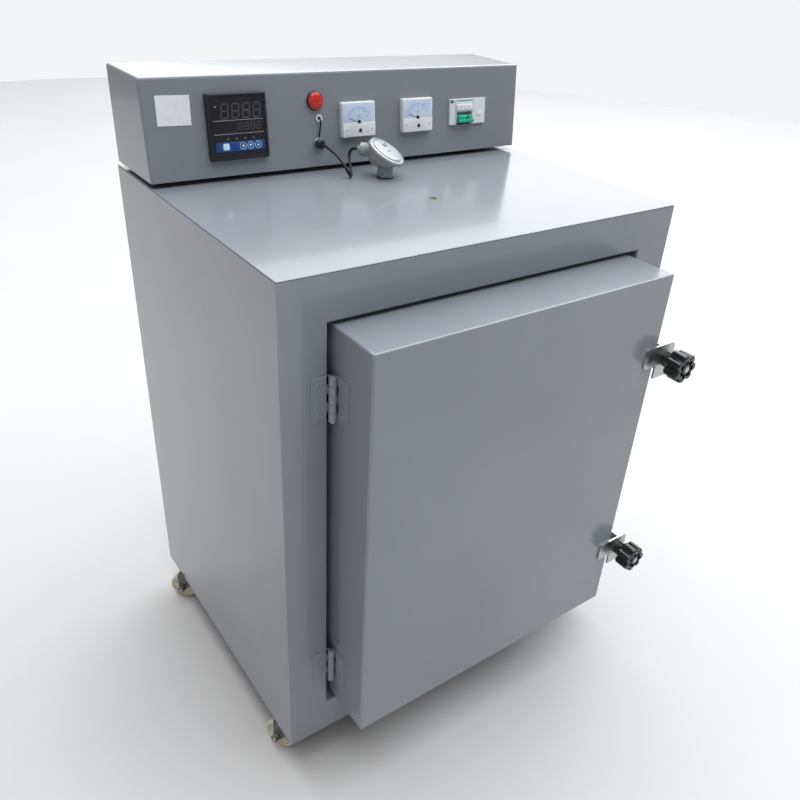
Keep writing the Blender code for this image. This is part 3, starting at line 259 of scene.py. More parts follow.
# Patches drift the colour between two tones, grain roughens and dents the surface; both in real millimetres
def makeMaterial(name, look):
    material = bpy.data.materials.new(name)
    material.use_nodes = True
    tree = material.node_tree
    shader = tree.nodes["Principled BSDF"]
    place = addNode(tree, "ShaderNodeTexCoord").outputs["Object"]
    patches = addNode(tree, "ShaderNodeTexNoise", None,
                      {"Vector": place, "Scale": 1000 / look["patchMm"], "Detail": 4.0, "Roughness": 0.55})
    share = addNode(tree, "ShaderNodeMapRange", None,
                    {"Value": patches.outputs["Fac"], "From Min": 0.35, "From Max": 0.65})
    colour = addNode(tree, "ShaderNodeMix", {"data_type": "RGBA"},
                     {0: share.outputs[0], 6: tone(look["colours"][0]),
                      7: tone(look["colours"][1])}).outputs[2]
    grain = addNode(tree, "ShaderNodeTexNoise", None,
                    {"Vector": place, "Scale": 1000 / look["grainMm"], "Detail": look.get("grainDetail", 2.0)})
    rough = addNode(tree, "ShaderNodeMapRange", None,
                    {"Value": patches.outputs["Fac"], "From Min": 0.3, "From Max": 0.7,
                     "To Min": look["roughness"][0], "To Max": look["roughness"][1]})
    dents = addNode(tree, "ShaderNodeBump", None,
                    {"Height": grain.outputs["Fac"], "Distance": look["grainDeepMm"] / 1000, "Strength": 1.0})
    normal = dents.outputs["Normal"]
    if "waveMm" in look:  # slow waves of a thin sheet, seen in what it reflects
        waves = addNode(tree, "ShaderNodeTexNoise", None,
                        {"Vector": place, "Scale": 1000 / look["waveMm"], "Detail": 0.0})
        normal = addNode(tree, "ShaderNodeBump", None,
                         {"Height": waves.outputs["Fac"], "Distance": look["waveDeepMm"] / 1000,
                          "Strength": 1.0, "Normal": normal}).outputs["Normal"]
    tree.links.new(colour, shader.inputs["Base Color"])
    tree.links.new(rough.outputs[0], shader.inputs["Roughness"])
    tree.links.new(normal, shader.inputs["Normal"])
    for socket, value in look.get("shader", {}).items():
        shader.inputs[socket].default_value = value
    return material, tree, shader, place


# Gloss alkyd enamel sprayed on folded steel: even light grey with fine orange peel, and the sheet's slow
# waves bend what it mirrors
enamel = makeMaterial("sprayedGreyEnamel", {
    "colours": ("#7b8087", "#81868d"), "patchMm": 260, "grainMm": 1.6, "grainDeepMm": 0.004,
    "roughness": (0.16, 0.24), "waveMm": 230, "waveDeepMm": 1.2,
    "shader": {"IOR": 1.45, "Coat Weight": 0.3, "Coat Roughness": 0.07, "Coat IOR": 1.5},
})[0]
# Dark paint over mill steel: dull, with rubbed patches. On the control box's base this dark paint is painted
# shade for the shaded gap under the box
darkSteelAndGapShade = makeMaterial("darkPaintedSteelAndGapShade", {
    "colours": ("#3c3d40", "#4a4a4b"), "patchMm": 35, "grainMm": 1.2, "grainDeepMm": 0.03,
    "roughness": (0.5, 0.7),
})[0]
# Bright zinc plate: soft metal gloss with a faint blue-green passivation
zinc = makeMaterial("brightZincPlate", {
    "colours": ("#a9b0ad", "#bcbfbb"), "patchMm": 14, "grainMm": 0.5, "grainDeepMm": 0.004,
    "roughness": (0.26, 0.42), "shader": {"Metallic": 1.0},
})[0]
# Dull zinc plate on the caster forks, its dark grey tone painted shade for the forks' place in the shadow under
# the cabinet
forkZincAndShade = makeMaterial("dullZincWithPaintedShade", {
    "colours": ("#5f6062", "#7b7976"), "patchMm": 9, "grainMm": 0.7, "grainDeepMm": 0.01,
    "roughness": (0.42, 0.62), "shader": {"Metallic": 0.85},
})[0]
# Moulded phenolic: near black, high gloss, faint flow marks
phenolic = makeMaterial("mouldedPhenolic", {
    "colours": ("#0d0d0f", "#17161a"), "patchMm": 12, "grainMm": 0.8, "grainDeepMm": 0.006,
    "roughness": (0.14, 0.26), "shader": {"IOR": 1.6},
})[0]
# Moulded ABS housings: fine spark-eroded texture, half matt
blackAbs = makeMaterial("mouldedBlackAbs", {
    "colours": ("#121318", "#191a20"), "patchMm": 18, "grainMm": 0.4, "grainDeepMm": 0.01,
    "roughness": (0.32, 0.44), "shader": {"IOR": 1.53},
})[0]
whiteAbs = makeMaterial("mouldedWhiteAbs", {
    "colours": ("#dfe1e2", "#d5d8da"), "patchMm": 22, "grainMm": 0.5, "grainDeepMm": 0.006,
    "roughness": (0.28, 0.4), "shader": {"IOR": 1.53},
})[0]
greenAbs = makeMaterial("mouldedGreenNylon", {
    "colours": ("#109a77", "#19a985"), "patchMm": 9, "grainMm": 0.5, "grainDeepMm": 0.006,
    "roughness": (0.26, 0.38), "shader": {"IOR": 1.53},
})[0]
# Clear red polycarbonate over a lamp, unlit
redLens = makeMaterial("redPolycarbonate", {
    "colours": ("#b3140f", "#cf2016"), "patchMm": 7, "grainMm": 1.0, "grainDeepMm": 0.01,
    "roughness": (0.08, 0.16), "shader": {"IOR": 1.58, "Coat Weight": 0.6},
})[0]
# Cast nylon wheel, cream, scuffed by the floor
nylon = makeMaterial("castNylon", {
    "colours": ("#d3ccb6", "#b8b19b"), "patchMm": 11, "grainMm": 0.9, "grainDeepMm": 0.02,
    "roughness": (0.42, 0.6), "shader": {"IOR": 1.53, "Subsurface Weight": 0.1},
})[0]
# Die-cast aluminium under grey-green hammer paint
castPaint = makeMaterial("paintedCastAluminium", {
    "colours": ("#848c86", "#929a94"), "patchMm": 10, "grainMm": 1.1, "grainDeepMm": 0.03,
    "roughness": (0.3, 0.42), "shader": {"IOR": 1.5, "Coat Weight": 0.2},
})[0]
# Its lid, machined bright and lacquered: pale silver
castBright = makeMaterial("lacqueredCastAluminium", {
    "colours": ("#b7bcbe", "#abb1b3"), "patchMm": 9, "grainMm": 0.9, "grainDeepMm": 0.002,
    "roughness": (0.26, 0.36), "shader": {"Metallic": 0.3},
})[0]
# Oxidised iron-chrome-aluminium wire: dull dark grey skin
heatWire = makeMaterial("oxidisedHeatingWire", {
    "colours": ("#4c4641", "#615951"), "patchMm": 6, "grainMm": 0.6, "grainDeepMm": 0.02,
    "roughness": (0.5, 0.7), "shader": {"Metallic": 0.7},
})[0]
# Soft PVC jacket: black, satin, slightly rippled by its cores
cableJacket = makeMaterial("softPvcJacket", {
    "colours": ("#070708", "#0d0d0f"), "patchMm": 8, "grainMm": 1.5, "grainDeepMm": 0.02,
    "roughness": (0.42, 0.52), "shader": {"IOR": 1.53},
})[0]
# Unglazed alumina tube
ceramic = makeMaterial("unglazedAlumina", {
    "colours": ("#ddd5c6", "#cfc6b4"), "patchMm": 12, "grainMm": 0.8, "grainDeepMm": 0.02,
    "roughness": (0.7, 0.85),
})[0]
# Smoked acrylic window: nearly black, mirror gloss
smokedAcrylic = makeMaterial("smokedAcrylic", {
    "colours": ("#16151b", "#1b1b21"), "patchMm": 30, "grainMm": 4.0, "grainDeepMm": 0.002,
    "roughness": (0.1, 0.16), "shader": {"IOR": 1.49},
})[0]
# Unlit display segments under the smoked window
dimSegments = makeMaterial("unlitDisplaySegments", {
    "colours": ("#4b464b", "#5a5553"), "patchMm": 6, "grainMm": 0.5, "grainDeepMm": 0.002,
    "roughness": (0.3, 0.4),
})[0]
# Screen-printed inks on the control faces, and one dark grey painted shade for the breaker's seams and holes
greyInk = makeMaterial("printedGreyInk", {
    "colours": ("#8b8894", "#96939d"), "patchMm": 8, "grainMm": 0.6, "grainDeepMm": 0.002,
    "roughness": (0.35, 0.5),
})[0]
blueFoil = makeMaterial("printedBlueFoil", {
    "colours": ("#12316e", "#1b4a94"), "patchMm": 16, "grainMm": 0.8, "grainDeepMm": 0.004,
    "roughness": (0.22, 0.34), "shader": {"Coat Weight": 0.3},
})[0]
paleInk = makeMaterial("printedPaleInk", {
    "colours": ("#bfe0ee", "#d8eef8"), "patchMm": 5, "grainMm": 0.6, "grainDeepMm": 0.002,
    "roughness": (0.35, 0.5),
})[0]
# not ink: dark grey painted shade laid on the breaker's seams, split, notch and holes, where gaps and bores
# fall in shade
seamAndHoleShade = makeMaterial("paintedSeamAndHoleShade", {
    "colours": ("#3c4a5c", "#495768"), "patchMm": 5, "grainMm": 0.6, "grainDeepMm": 0.002,
    "roughness": (0.4, 0.55),
})[0]
tealInk = makeMaterial("printedTealInk", {
    "colours": ("#2f7f8c", "#3d919c"), "patchMm": 5, "grainMm": 0.6, "grainDeepMm": 0.002,
    "roughness": (0.4, 0.55),
})[0]
# Meter's card behind clear acrylic: its base colour painted pale blue, a painted reflection of the sky it
# mirrors
dialCardSkyReflection = makeMaterial("dialWithPaintedSkyReflection", {
    "colours": ("#b9cbe2", "#c9d7e8"), "patchMm": 26, "grainMm": 3.0, "grainDeepMm": 0.002,
    "roughness": (0.08, 0.14), "shader": {"IOR": 1.49, "Coat Weight": 0.8, "Coat Roughness": 0.04},
})[0]
# Coated paper label, blank
paper = makeMaterial("coatedPaperLabel", {
    "colours": ("#e6e8ea", "#dddfe2"), "patchMm": 14, "grainMm": 3.0, "grainDeepMm": 0.03,
    "roughness": (0.35, 0.5),
})[0]


brickSet = {"length": 0.230, "width": 0.114, "height": 0.065, "mortar": 0.0022, "sunk": 0.0012}


# Insulating firebrick laid with thin mortar: porous, soft cream, joints sunk
def makeBrick(lying=False):
    material, tree, shader, place = makeMaterial("firebrickSlab" if lying else "insulatingFirebrick", {
        "colours": ("#dccfb4", "#cfc0a2"), "patchMm": 40, "grainMm": 2.2, "grainDetail": 5.0,
        "grainDeepMm": 0.35, "roughness": (0.85, 0.97),
    })
    base = shader.inputs["Base Color"].links[0].from_socket
    bumps = shader.inputs["Normal"].links[0].from_socket
    parts = addNode(tree, "ShaderNodeSeparateXYZ", None, {"Vector": place})
    along = addNode(tree, "ShaderNodeMath", {"operation": "ADD"},
                    {0: parts.outputs[0], 1: parts.outputs[1]})
    wall = addNode(tree, "ShaderNodeCombineXYZ", None,
                   {0: parts.outputs[0] if lying else along.outputs[0], 1: parts.outputs[1 if lying else 2]})
    bricks = addNode(tree, "ShaderNodeTexBrick", None,
                     {"Vector": wall.outputs[0], "Color1": (1, 1, 1, 1), "Color2": (0.9, 0.88, 0.84, 1),
                      "Mortar": (0.62, 0.55, 0.45, 1), "Scale": 1.0, "Mortar Size": brickSet["mortar"] / 2,
                      "Mortar Smooth": 0.2, "Brick Width": brickSet["length"],
                      "Row Height": brickSet["width"] if lying else brickSet["height"]})
    stained = addNode(tree, "ShaderNodeMix", {"data_type": "RGBA", "blend_type": "MULTIPLY"},
                      {0: 1.0, 6: base, 7: bricks.outputs["Color"]})
    sunk = addNode(tree, "ShaderNodeBump", {"invert": True},
                   {"Height": bricks.outputs["Fac"], "Distance": brickSet["sunk"], "Normal": bumps})
    tree.links.new(stained.outputs[2], shader.inputs["Base Color"])
    tree.links.new(sunk.outputs[0], shader.inputs["Normal"])
    return material


ropeSet = {"strandMm": 4.0, "deep": 0.0009}


# Braided ceramic fibre: off-white strands on the slant, one every few millimetres
def makeRope():
    material, tree, shader, place = makeMaterial("braidedCeramicFibre", {
        "colours": ("#e4e1d8", "#d3cec2"), "patchMm": 18, "grainMm": 1.0, "grainDetail": 4.0,
        "grainDeepMm": 0.3, "roughness": (0.85, 0.97), "shader": {"Sheen Weight": 0.2},
    })
    bumps = shader.inputs["Normal"].links[0].from_socket
    strands = addNode(tree, "ShaderNodeTexWave", {"bands_direction": "DIAGONAL"},
                      {"Vector": place, "Scale": 1000 / (ropeSet["strandMm"] * 2 * math.pi),
                       "Distortion": 1.5, "Detail": 1.0})
    weave = addNode(tree, "ShaderNodeBump", None,
                    {"Height": strands.outputs["Fac"], "Distance": ropeSet["deep"], "Normal": bumps})
    tree.links.new(weave.outputs[0], shader.inputs["Normal"])
    return material


brick = makeBrick()
lyingBrick = makeBrick(lying=True)
rope = makeRope()
print("materials ready")

# The cable comes first, and needs the panel's frame and the head's side branch
panelSet = {"corner": (-0.355, 0.186, 0.908), "slope": math.atan2(0.013, 0.144)}
panelOut = np.array((0, -math.cos(panelSet["slope"]), math.sin(panelSet["slope"])))
panelUp = np.array((0, math.sin(panelSet["slope"]), math.cos(panelSet["slope"])))
panelAcross = np.array((1.0, 0, 0))


# a point on the panel: its corner, then across, up and out along the panel's own axes
def onPanel(across, up, out):
    return np.array(panelSet["corner"]) + across * panelAcross + up * panelUp + out * panelOut


headSet = {
    "place": (0.0075, 0.113, 0.900),  # middle of the neck's foot, on the top sheet
    "branchTurn": math.radians(128),
    "branchUp": 0.040,
    "branchEnd": 0.043,
    "ferrule": 0.005,
    "play": 0.0006,  # from the ferrule's end to the cable's
}
branchSide = np.array((math.cos(headSet["branchTurn"]), math.sin(headSet["branchTurn"]), 0))
headEnd = np.array(headSet["place"]) + (0, 0, headSet["branchUp"]) + branchSide * (
    headSet["branchEnd"] + headSet["ferrule"] + headSet["play"])

# from the gland's nose down to the top sheet in one loop, and up to the head
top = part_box("top_panel")[1][2]
cableSet = {"radius": 0.0024, "straight": 0.004, "gland": (0.281, 0.03549), "nose": 0.0101,
            "side": (0.78, -0.62, 0), "sides": 24, "points": 30, "rounds": 3}
cablePoints = [
    onPanel(*cableSet["gland"], cableSet["nose"]),
    onPanel(*cableSet["gland"], cableSet["nose"] + cableSet["straight"]),
    (-0.0715, 0.1600, top + 0.0420),
    (-0.0668, 0.1485, top + 0.0365),
    (-0.0625, 0.1380, top + 0.0285),
    (-0.0590, 0.1300, top + 0.0200),
    (-0.0569, 0.1253, top + 0.0125),
    (-0.0529, 0.1254, top + 0.0050),
    (-0.0462, 0.1322, top + 0.0019),
    (-0.0403, 0.1420, top + 0.0043),
    (-0.0363, 0.1510, top + 0.0130),
    (-0.0328, 0.1595, top + 0.0208),
    (-0.0314, 0.1654, top + 0.0300),
    (-0.0280, 0.1622, top + 0.0392),
    headEnd + branchSide * cableSet["straight"],
    headEnd,
]


# Catmull-Rom through the points, spread evenly, then each point moved half way to its neighbours' middle
def smoothRoute(points, count, rounds):
    p = np.array([2 * np.array(points[0]) - points[1], *points, 2 * np.array(points[-1]) - points[-2]])
    t = np.arange(24)[:, None, None] / 24
    a, b, c, d = p[:-3], p[1:-2], p[2:-1], p[3:]
    fine = 0.5 * (2 * b + (c - a) * t + (2 * a - 5 * b + 4 * c - d) * t**2
                  + (3 * b - a - 3 * c + d) * t**3)
    fine = np.concatenate([fine.transpose(1, 0, 2).reshape(-1, 3), p[-2:-1]])
    far = np.r_[0, np.cumsum(np.linalg.norm(np.diff(fine, axis=0), axis=1))]
    want = np.linspace(0, far[-1], count)
    even = np.stack([np.interp(want, far, fine[:, k]) for k in range(3)], 1)
    for _ in range(rounds):
        even[2:-2] = (even[1:-3] + 2 * even[2:-2] + even[3:-1]) / 4
    return even


cableRoute = smoothRoute(cablePoints, cableSet["points"], cableSet["rounds"])
cableTube = tubeShape(cableRoute, cableSet["radius"], cableSet["side"], cableSet["sides"])
cable = addPiece("probeCable", cableTube, cableJacket, "cabinet", ("thermocouple_cable",))

# CAD nodes that keep their shape get their finish
finishes = {
    enamel: ["left_side_panel", "right_side_panel", "back_panel", "top_panel", "front_frame", "door_shell",
             "control_box"],
    # control_box_base takes the dark paint as painted shade: it stands in for the shaded gap between the
    # control box and the top sheet
    darkSteelAndGapShade: ["throat_frame", "base_frame", "control_box_base"],
    brick: ["lining_left", "lining_right", "lining_back", "door_lining"],
    lyingBrick: ["lining_floor", "lining_roof"],
    rope: ["door_seal"],
    zinc: ["hinge_upper_pin", "hinge_lower_pin", "clamp_upper_lug", "clamp_upper_bracket", "clamp_upper_stud",
           "clamp_lower_lug", "clamp_lower_bracket", "clamp_lower_stud"],
    forkZincAndShade: ["front_left_caster_fork", "front_right_caster_fork", "rear_left_caster_fork",
               "rear_right_caster_fork"],
    whiteAbs: ["circuit_breaker"],
    ceramic: ["thermocouple_sheath"],
    cableJacket: ["indicator_lead"],
}
for material, names in finishes.items():
    for name in names:
        slots = frame["nodes"][name].data.materials
        slots.clear()
        slots.append(material)
print("frame's own finishes set")

# Clamps' star knobs
knobSet = {
    "radius": 0.025, "lobes": 7, "deep": 0.0056,  # over the lobes, and how far the notches go in
    "thick": 0.028, "edge": 0.0036, "dish": 0.0046,  # length, round of the rims, drop of the face
    "hub": 0.0125, "hubLength": 0.0134, "collar": 0.002, "bore": 0.0054,
    "insert": (0.0098, 0.0090, 0.0056), "sunk": 0.0002,  # threaded insert in the face: foot, rim, bore
    "stand": 0.001,  # from the stud's end to the knob's face
    "steps": 168,
}


# radius falls by ((1 - cos 7t) / 2)^2 between lobes; each row is (share of that radius, plain radius, height);
# both rims draw in by a quarter circle, and the face dips
def knobShape():
    turns = np.linspace(0, 2 * np.pi, knobSet["steps"], endpoint=False)
    notch = ((1 - np.cos(knobSet["lobes"] * turns)) / 2) ** 2
    lobe = knobSet["radius"] - knobSet["deep"] * notch
    edge, thick, hub = knobSet["edge"], knobSet["thick"], knobSet["hub"]
    foot, rim, bore = knobSet["insert"]
    dish, face = thick - knobSet["dish"], thick - knobSet["sunk"]
    quarter = np.linspace(0, np.pi / 2, 7)
    rows = [(0.0, knobSet["bore"], -knobSet["hubLength"]), (0.0, hub, -knobSet["hubLength"]),
            (0.0, hub, -knobSet["collar"]), (0.4, hub * 0.4, 0.0)]
    rows += [(1.0, -edge * (1 - math.sin(a)), edge * (1 - math.cos(a))) for a in quarter]
    rows += [(1.0, -edge * (1 - math.cos(a)), thick - edge * (1 - math.sin(a))) for a in quarter]
    rows += [(0.80, -edge, face), (0.70, 0.0, dish), (0.5, 0.0, dish),
             (0.0, foot, dish), (0.0, rim, face), (0.0, bore, face)]
    share, plain, height = np.array(rows).T
    radius = share[None] * lobe[:, None] + plain[None]
    points = np.stack([radius * np.cos(turns)[:, None], radius * np.sin(turns)[:, None],
                       height[None] + 0 * radius], -1)
    return gridShape(points, closedRows=True, closedColumns=True)


for where in ("upper", "lower"):
    low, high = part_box("clamp_%s_stud" % where)
    middle = ((low[0] + high[0]) / 2, low[1] + knobSet["stand"] + knobSet["thick"], (low[2] + high[2]) / 2)
    knob = placed(knobShape(), middle, (1, 0, 0), (0, 0, 1), (0, -1, 0))
    addPiece("starKnob_" + where, knob, phenolic, where + "_clamp_screw",
             ("clamp_%s_knob" % where,), 50)
print("knobs ready")

# Hinges: a rounded leaf on the cabinet and one on the door's side, knuckles between, all painted over
hingeSet = {
    "axis": (-0.2835, -0.2145), "height": 0.067, "leaf": 0.0285, "thick": 0.0013, "corner": 0.005,
    "ease": 0.0006, "inner": 0.0030, "seat": 0.0062,  # inner edge and back of a leaf, both from the axis
    "barrel": 0.0055, "bore": 0.00306, "barrelEase": 0.0005, "knuckles": 5, "play": 0.0003,
    "webHalf": 0.0032, "webSunk": 0.0007,
    "screws": (-0.0225, 0.0, 0.0225), "screwLine": 0.019,
}
screwSet = {"radius": 0.0031, "proud": 0.0007, "sunk": 0.0002}


# one leaf's plate: quarter circles round its outer corners, its rim eased in one step
def leafPlate():
    half, corner, reach = hingeSet["height"] / 2, hingeSet["corner"], hingeSet["leaf"]
    thick, ease, inner = hingeSet["thick"], hingeSet["ease"], hingeSet["inner"]
    turns = np.linspace(0, np.pi / 2, 8)
    rings = []
    for inset, level in ((0, 0), (0, ease - thick), (ease, -thick)):
        upper = np.column_stack([-reach + inset + corner - corner * np.sin(turns),
                                 half - inset - corner + corner * np.cos(turns)])
        outline = np.concatenate([[(-inner, -half + inset), (-inner, half - inset)], upper,
                                  (upper * (1, -1))[::-1]])
        rings.append(np.column_stack([outline, np.full(len(outline), hingeSet["seat"] + level)]))
    return gridShape(np.array(rings), closedColumns=True, caps=True)


# a bored barrel between two heights, its ends eased by a cone
def knuckleShape(low, high):
    outer, bore, ease = hingeSet["barrel"], hingeSet["bore"], hingeSet["barrelEase"]
    return turnedShape([(bore, low), (outer - ease, low), (outer, low + ease), (outer, high - ease),
                        (outer - ease, high), (bore, high)], 32, closed=True)


# a domed screw head: radius times sine, height times cosine of a quarter turn, its foot sunk a little
def screwShape(radius=screwSet["radius"], proud=screwSet["proud"]):
    dome = [(radius * math.sin(a), proud * math.cos(a)) for a in np.linspace(0, np.pi / 2, 6)]
    return turnedShape([*dome, (radius, -screwSet["sunk"]), (0, -screwSet["sunk"])], 20)


# every second knuckle belongs to the same leaf, and a short web beside each ties it to the plate
def addHinge(where, own, first):
    low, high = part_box("hinge_%s_pin" % where)
    origin = (*hingeSet["axis"], (low[2] + high[2]) / 2)
    half, play, face = hingeSet["height"] / 2, hingeSet["play"] / 2, hingeSet["seat"] - hingeSet["thick"]
    pitch = hingeSet["height"] / hingeSet["knuckles"]
    spans = [(-half + i * pitch + play, -half + (i + 1) * pitch - play)
             for i in range(first, hingeSet["knuckles"], 2)]
    screws = [placed(screwShape(), (-hingeSet["screwLine"], z, face), (1, 0, 0), (0, 1, 0), (0, 0, -1))
              for z in hingeSet["screws"]]
    webs = barsShape([(-hingeSet["inner"], (a + b) / 2) for a, b in spans],
                     [(hingeSet["webHalf"], (b - a) / 2) for a, b in spans],
                     0, face, hingeSet["seat"] - hingeSet["webSunk"])
    across, out = ((1, 0, 0), (0, 1, 0)) if own == "cabinet" else ((0, 1, 0), (1, 0, 0))
    plate = placed(joined(leafPlate(), *screws, webs), origin, across, (0, 0, 1), out)
    barrels = moved(joined(*[knuckleShape(a, b) for a, b in spans]), origin)
    addPiece("hinge_%s_%s" % (where, own), joined(plate, barrels), enamel, own,
             ("hinge_%s_%s_leaf" % (where, own),))


for where in ("upper", "lower"):
    addHinge(where, "cabinet", 0)
    addHinge(where, "door", 1)
print("hinges ready")


# Control panel: every shape here is made flat, then set up at its place on the slope
def panelPiece(name, shape, middle, material, replaces=(), body="cabinet", sharp=35):
    solid = placed(shape, onPanel(*middle, 0), panelAcross, panelUp, panelOut)
    return addPiece(name, solid, material, body, replaces, sharp)


# a front plate's rim: rings that draw in by 1 - cos and rise by sin of a quarter turn up to its face
def easedRim(halfWide, halfHigh, corner, out, ease):
    return [(halfWide - ease * (1 - math.cos(a)), halfHigh - ease * (1 - math.cos(a)), corner,
             out - ease * (1 - math.sin(a))) for a in np.linspace(0, np.pi / 2, 5)]


controllerSet = {
    "middle": (0.141, 0.0723), "half": 0.048, "out": 0.0083, "corner": 0.0022, "ease": 0.0018,
    "bodyHalf": 0.045, "bodyCorner": 0.001, "deep": -0.075, "seat": 0.0003,
    "lip": ((0.0042, 0.0012, 0), (0.0048, 0.0010, 1), (0.0060, 0.0010, 1)),  # inset, corner, share of the drop
    "drop": 0.0014, "window": (0.0052, 0.001, 0.0001), "windowThick": (0.0004, 0.0002),
    # count, first middle, pitch, level, width, height, bar
    "figures": ((4, -0.0200, 0.0172, 0.0228, 0.0108, 0.0200, 0.0015),
                (4, 0.0030, 0.0102, 0.0002, 0.0062, 0.0096, 0.0009)),
    "lean": 0.09, "ink": 0.00012,
    "lines": ((0.0005, 0.0096), (0.0005, -0.0098)), "lineHalf": (0.0405, 0.00042),
    "dot": (-0.0345, 0.0295), "dotRadius": 0.0014,
    "marks": (-0.0185, -0.0045, 0.0095, 0.0235), "markLevel": -0.0172, "markHalf": (0.0016, 0.0005),
    "band": (0.0400, 0.0070, 0.0012), "bandMiddle": 0.0010, "bandThick": 0.0004, "bandEase": 0.0001,
    "keyLevel": -0.0280, "keyThick": 0.0002, "square": -0.0225, "squareHalf": (0.0050, 0.0048, 0.0016),
    "squareEase": 0.00005,
    "arrows": ((0.0048, math.pi / 2), (0.0173, math.pi), (0.0300, 0.0)),  # place and turn: left, down, up
    "arrow": ((0.0024, -0.0016), (0.0, 0.0024), (-0.0024, -0.0016)), "ring": (0.0047, 0.0053),
}


# seven bars to a figure: three level, four upright
def figureBars(middle, wide, tall, thick):
    w, h = wide / 2, tall / 2
    spots = [(0, h, 0), (0, 0, 0), (0, -h, 0), (-w, h / 2, 1), (w, h / 2, 1), (-w, -h / 2, 1), (w, -h / 2, 1)]
    middles = [(middle[0] + x, middle[1] + y) for x, y, upright in spots]
    halves = [(thick / 2, h / 2 - thick * 0.6) if upright else (w - thick * 0.6, thick / 2)
              for x, y, upright in spots]
    return middles, halves


# a row of figures, each point then shifted across by its height above the row's level times the lean
def figuresShape(count, start, pitch, level, wide, tall, thick, low, high):
    middles, halves = [], []
    for i in range(count):
        some, sizes = figureBars((start + i * pitch, level), wide, tall, thick)
        middles += some
        halves += sizes
    points, faces = barsShape(middles, halves, 0, low, high)
    points[:, 0] += controllerSet["lean"] * (points[:, 1] - level)
    return points, faces


# housing with a body behind the panel, smoked window, unlit figures, print, key band and plain keys
def addController():
    s = controllerSet
    half, out, middle, ink = s["half"], s["out"], s["middle"], s["ink"]
    glass = out - s["drop"]
    bodyRing = (s["bodyHalf"], s["bodyHalf"], s["bodyCorner"])
    lip = [(half - inset, half - inset, corner, out - s["drop"] * share) for inset, corner, share in s["lip"]]
    housing = loftShape([(*bodyRing, s["deep"]), (*bodyRing, s["seat"]), (half, half, s["corner"], s["seat"]),
                         *easedRim(half, half, s["corner"], out, s["ease"]), *lip])
    panelPiece("controllerHousing", housing, middle, blackAbs, ("temperature_controller",),
               sharp=28)

    inset, corner, ease = s["window"]
    face = glass + s["windowThick"][1]
    window = slabShape(half - inset, half - inset, corner, glass - s["windowThick"][0], face, ease)
    panelPiece("controllerWindow", window, middle, smokedAcrylic)
    figures = [figuresShape(*row, face, face + ink) for row in s["figures"]]
    panelPiece("controllerFigures", joined(*figures), middle, dimSegments)
    lines = barsShape(s["lines"], s["lineHalf"], 0, face, face + ink)
    dot = turnedShape([(0, ink), (s["dotRadius"], ink), (s["dotRadius"], 0), (0, 0)], 20)
    marks = barsShape([(x, s["markLevel"]) for x in s["marks"]], s["markHalf"], 0, face, face + ink)
    panelPiece("controllerPrint", joined(lines, moved(dot, (*s["dot"], face)), marks), middle, greyInk)

    key, thick = face + s["bandThick"], s["keyThick"]
    band = moved(slabShape(*s["band"], face, key, s["bandEase"]), (s["bandMiddle"], s["keyLevel"], 0))
    panelPiece("controllerKeyBand", band, middle, blueFoil)
    inner, outer = s["ring"]
    shapes = [moved(slabShape(*s["squareHalf"], 0, thick, s["squareEase"]), (s["square"], s["keyLevel"], key))]
    for x, spin in s["arrows"]:
        ring = turnedShape([(inner, 0), (outer, 0), (outer, thick), (inner, thick)], 36, closed=True)
        turn = np.array([(math.cos(spin), math.sin(spin)), (-math.sin(spin), math.cos(spin))])
        arrow = prismShape(np.array(s["arrow"]) @ turn, 0, thick)
        shapes.append(moved(joined(ring, arrow), (x, s["keyLevel"], key)))
    panelPiece("controllerKeys", joined(*shapes), middle, paleInk)


meterSet = {
    "half": (0.032, 0.0275), "out": 0.0093, "corner": 0.0022, "ease": 0.0016,
    "can": 0.0235, "canCorner": 0.0230, "deep": -0.030, "seat": 0.0003,  # round body behind the panel
    "band": 0.0118, "bandInset": 0.0008, "bandCorner": 0.0014, "bandEase": 0.0004, "bandProud": 0.0011,
    "ribs": (-0.0175, 0.0175, 15), "ribHalf": (0.00035, 0.0062), "ribProud": 0.0013,
    "dial": (0.0022, 0.0010), "dialUp": 0.0014, "dialCorner": 0.0012, "dialEase": 0.0002, "dialProud": 0.0004,
    "sunk": 0.0002, "ink": 0.0001,
    "pivot": (0.0, -0.0052), "arc": 0.0235, "arcWide": (0.0001, -0.0003), "minor": 21,
    "sweep": (math.radians(148), math.radians(32)),
    "long": (0.0015, 0.0008), "thick": (0.00022, 0.00014),  # half sizes of major and minor ticks
    "numberArc": 0.0196, "numberSize": 0.0030, "letterUp": 0.0050, "letterSize": 0.0072,
    "needleTurn": math.radians(158), "needleMiddle": 0.0125, "needleHalf": (0.0085, 0.00032),
    "needleHeights": (0.0002, 0.0004),
    "hub": ((0, 0.0009), (0.0026, 0.0009), (0.0034, 0.0004), (0.0034, 0), (0, 0)), "hubUp": 0.0012,
    "zero": ((0, 0.0016), (0.0020, 0.0015), (0.0030, 0.0008), (0.0030, 0), (0, 0)), "zeroAt": (0.0015, -0.0015),
    "zeroProud": 0.0010,
    "screws": (-0.0245, 0.0245), "screw": (0.0015, 0.0005), "screwUp": 0.0005,
}


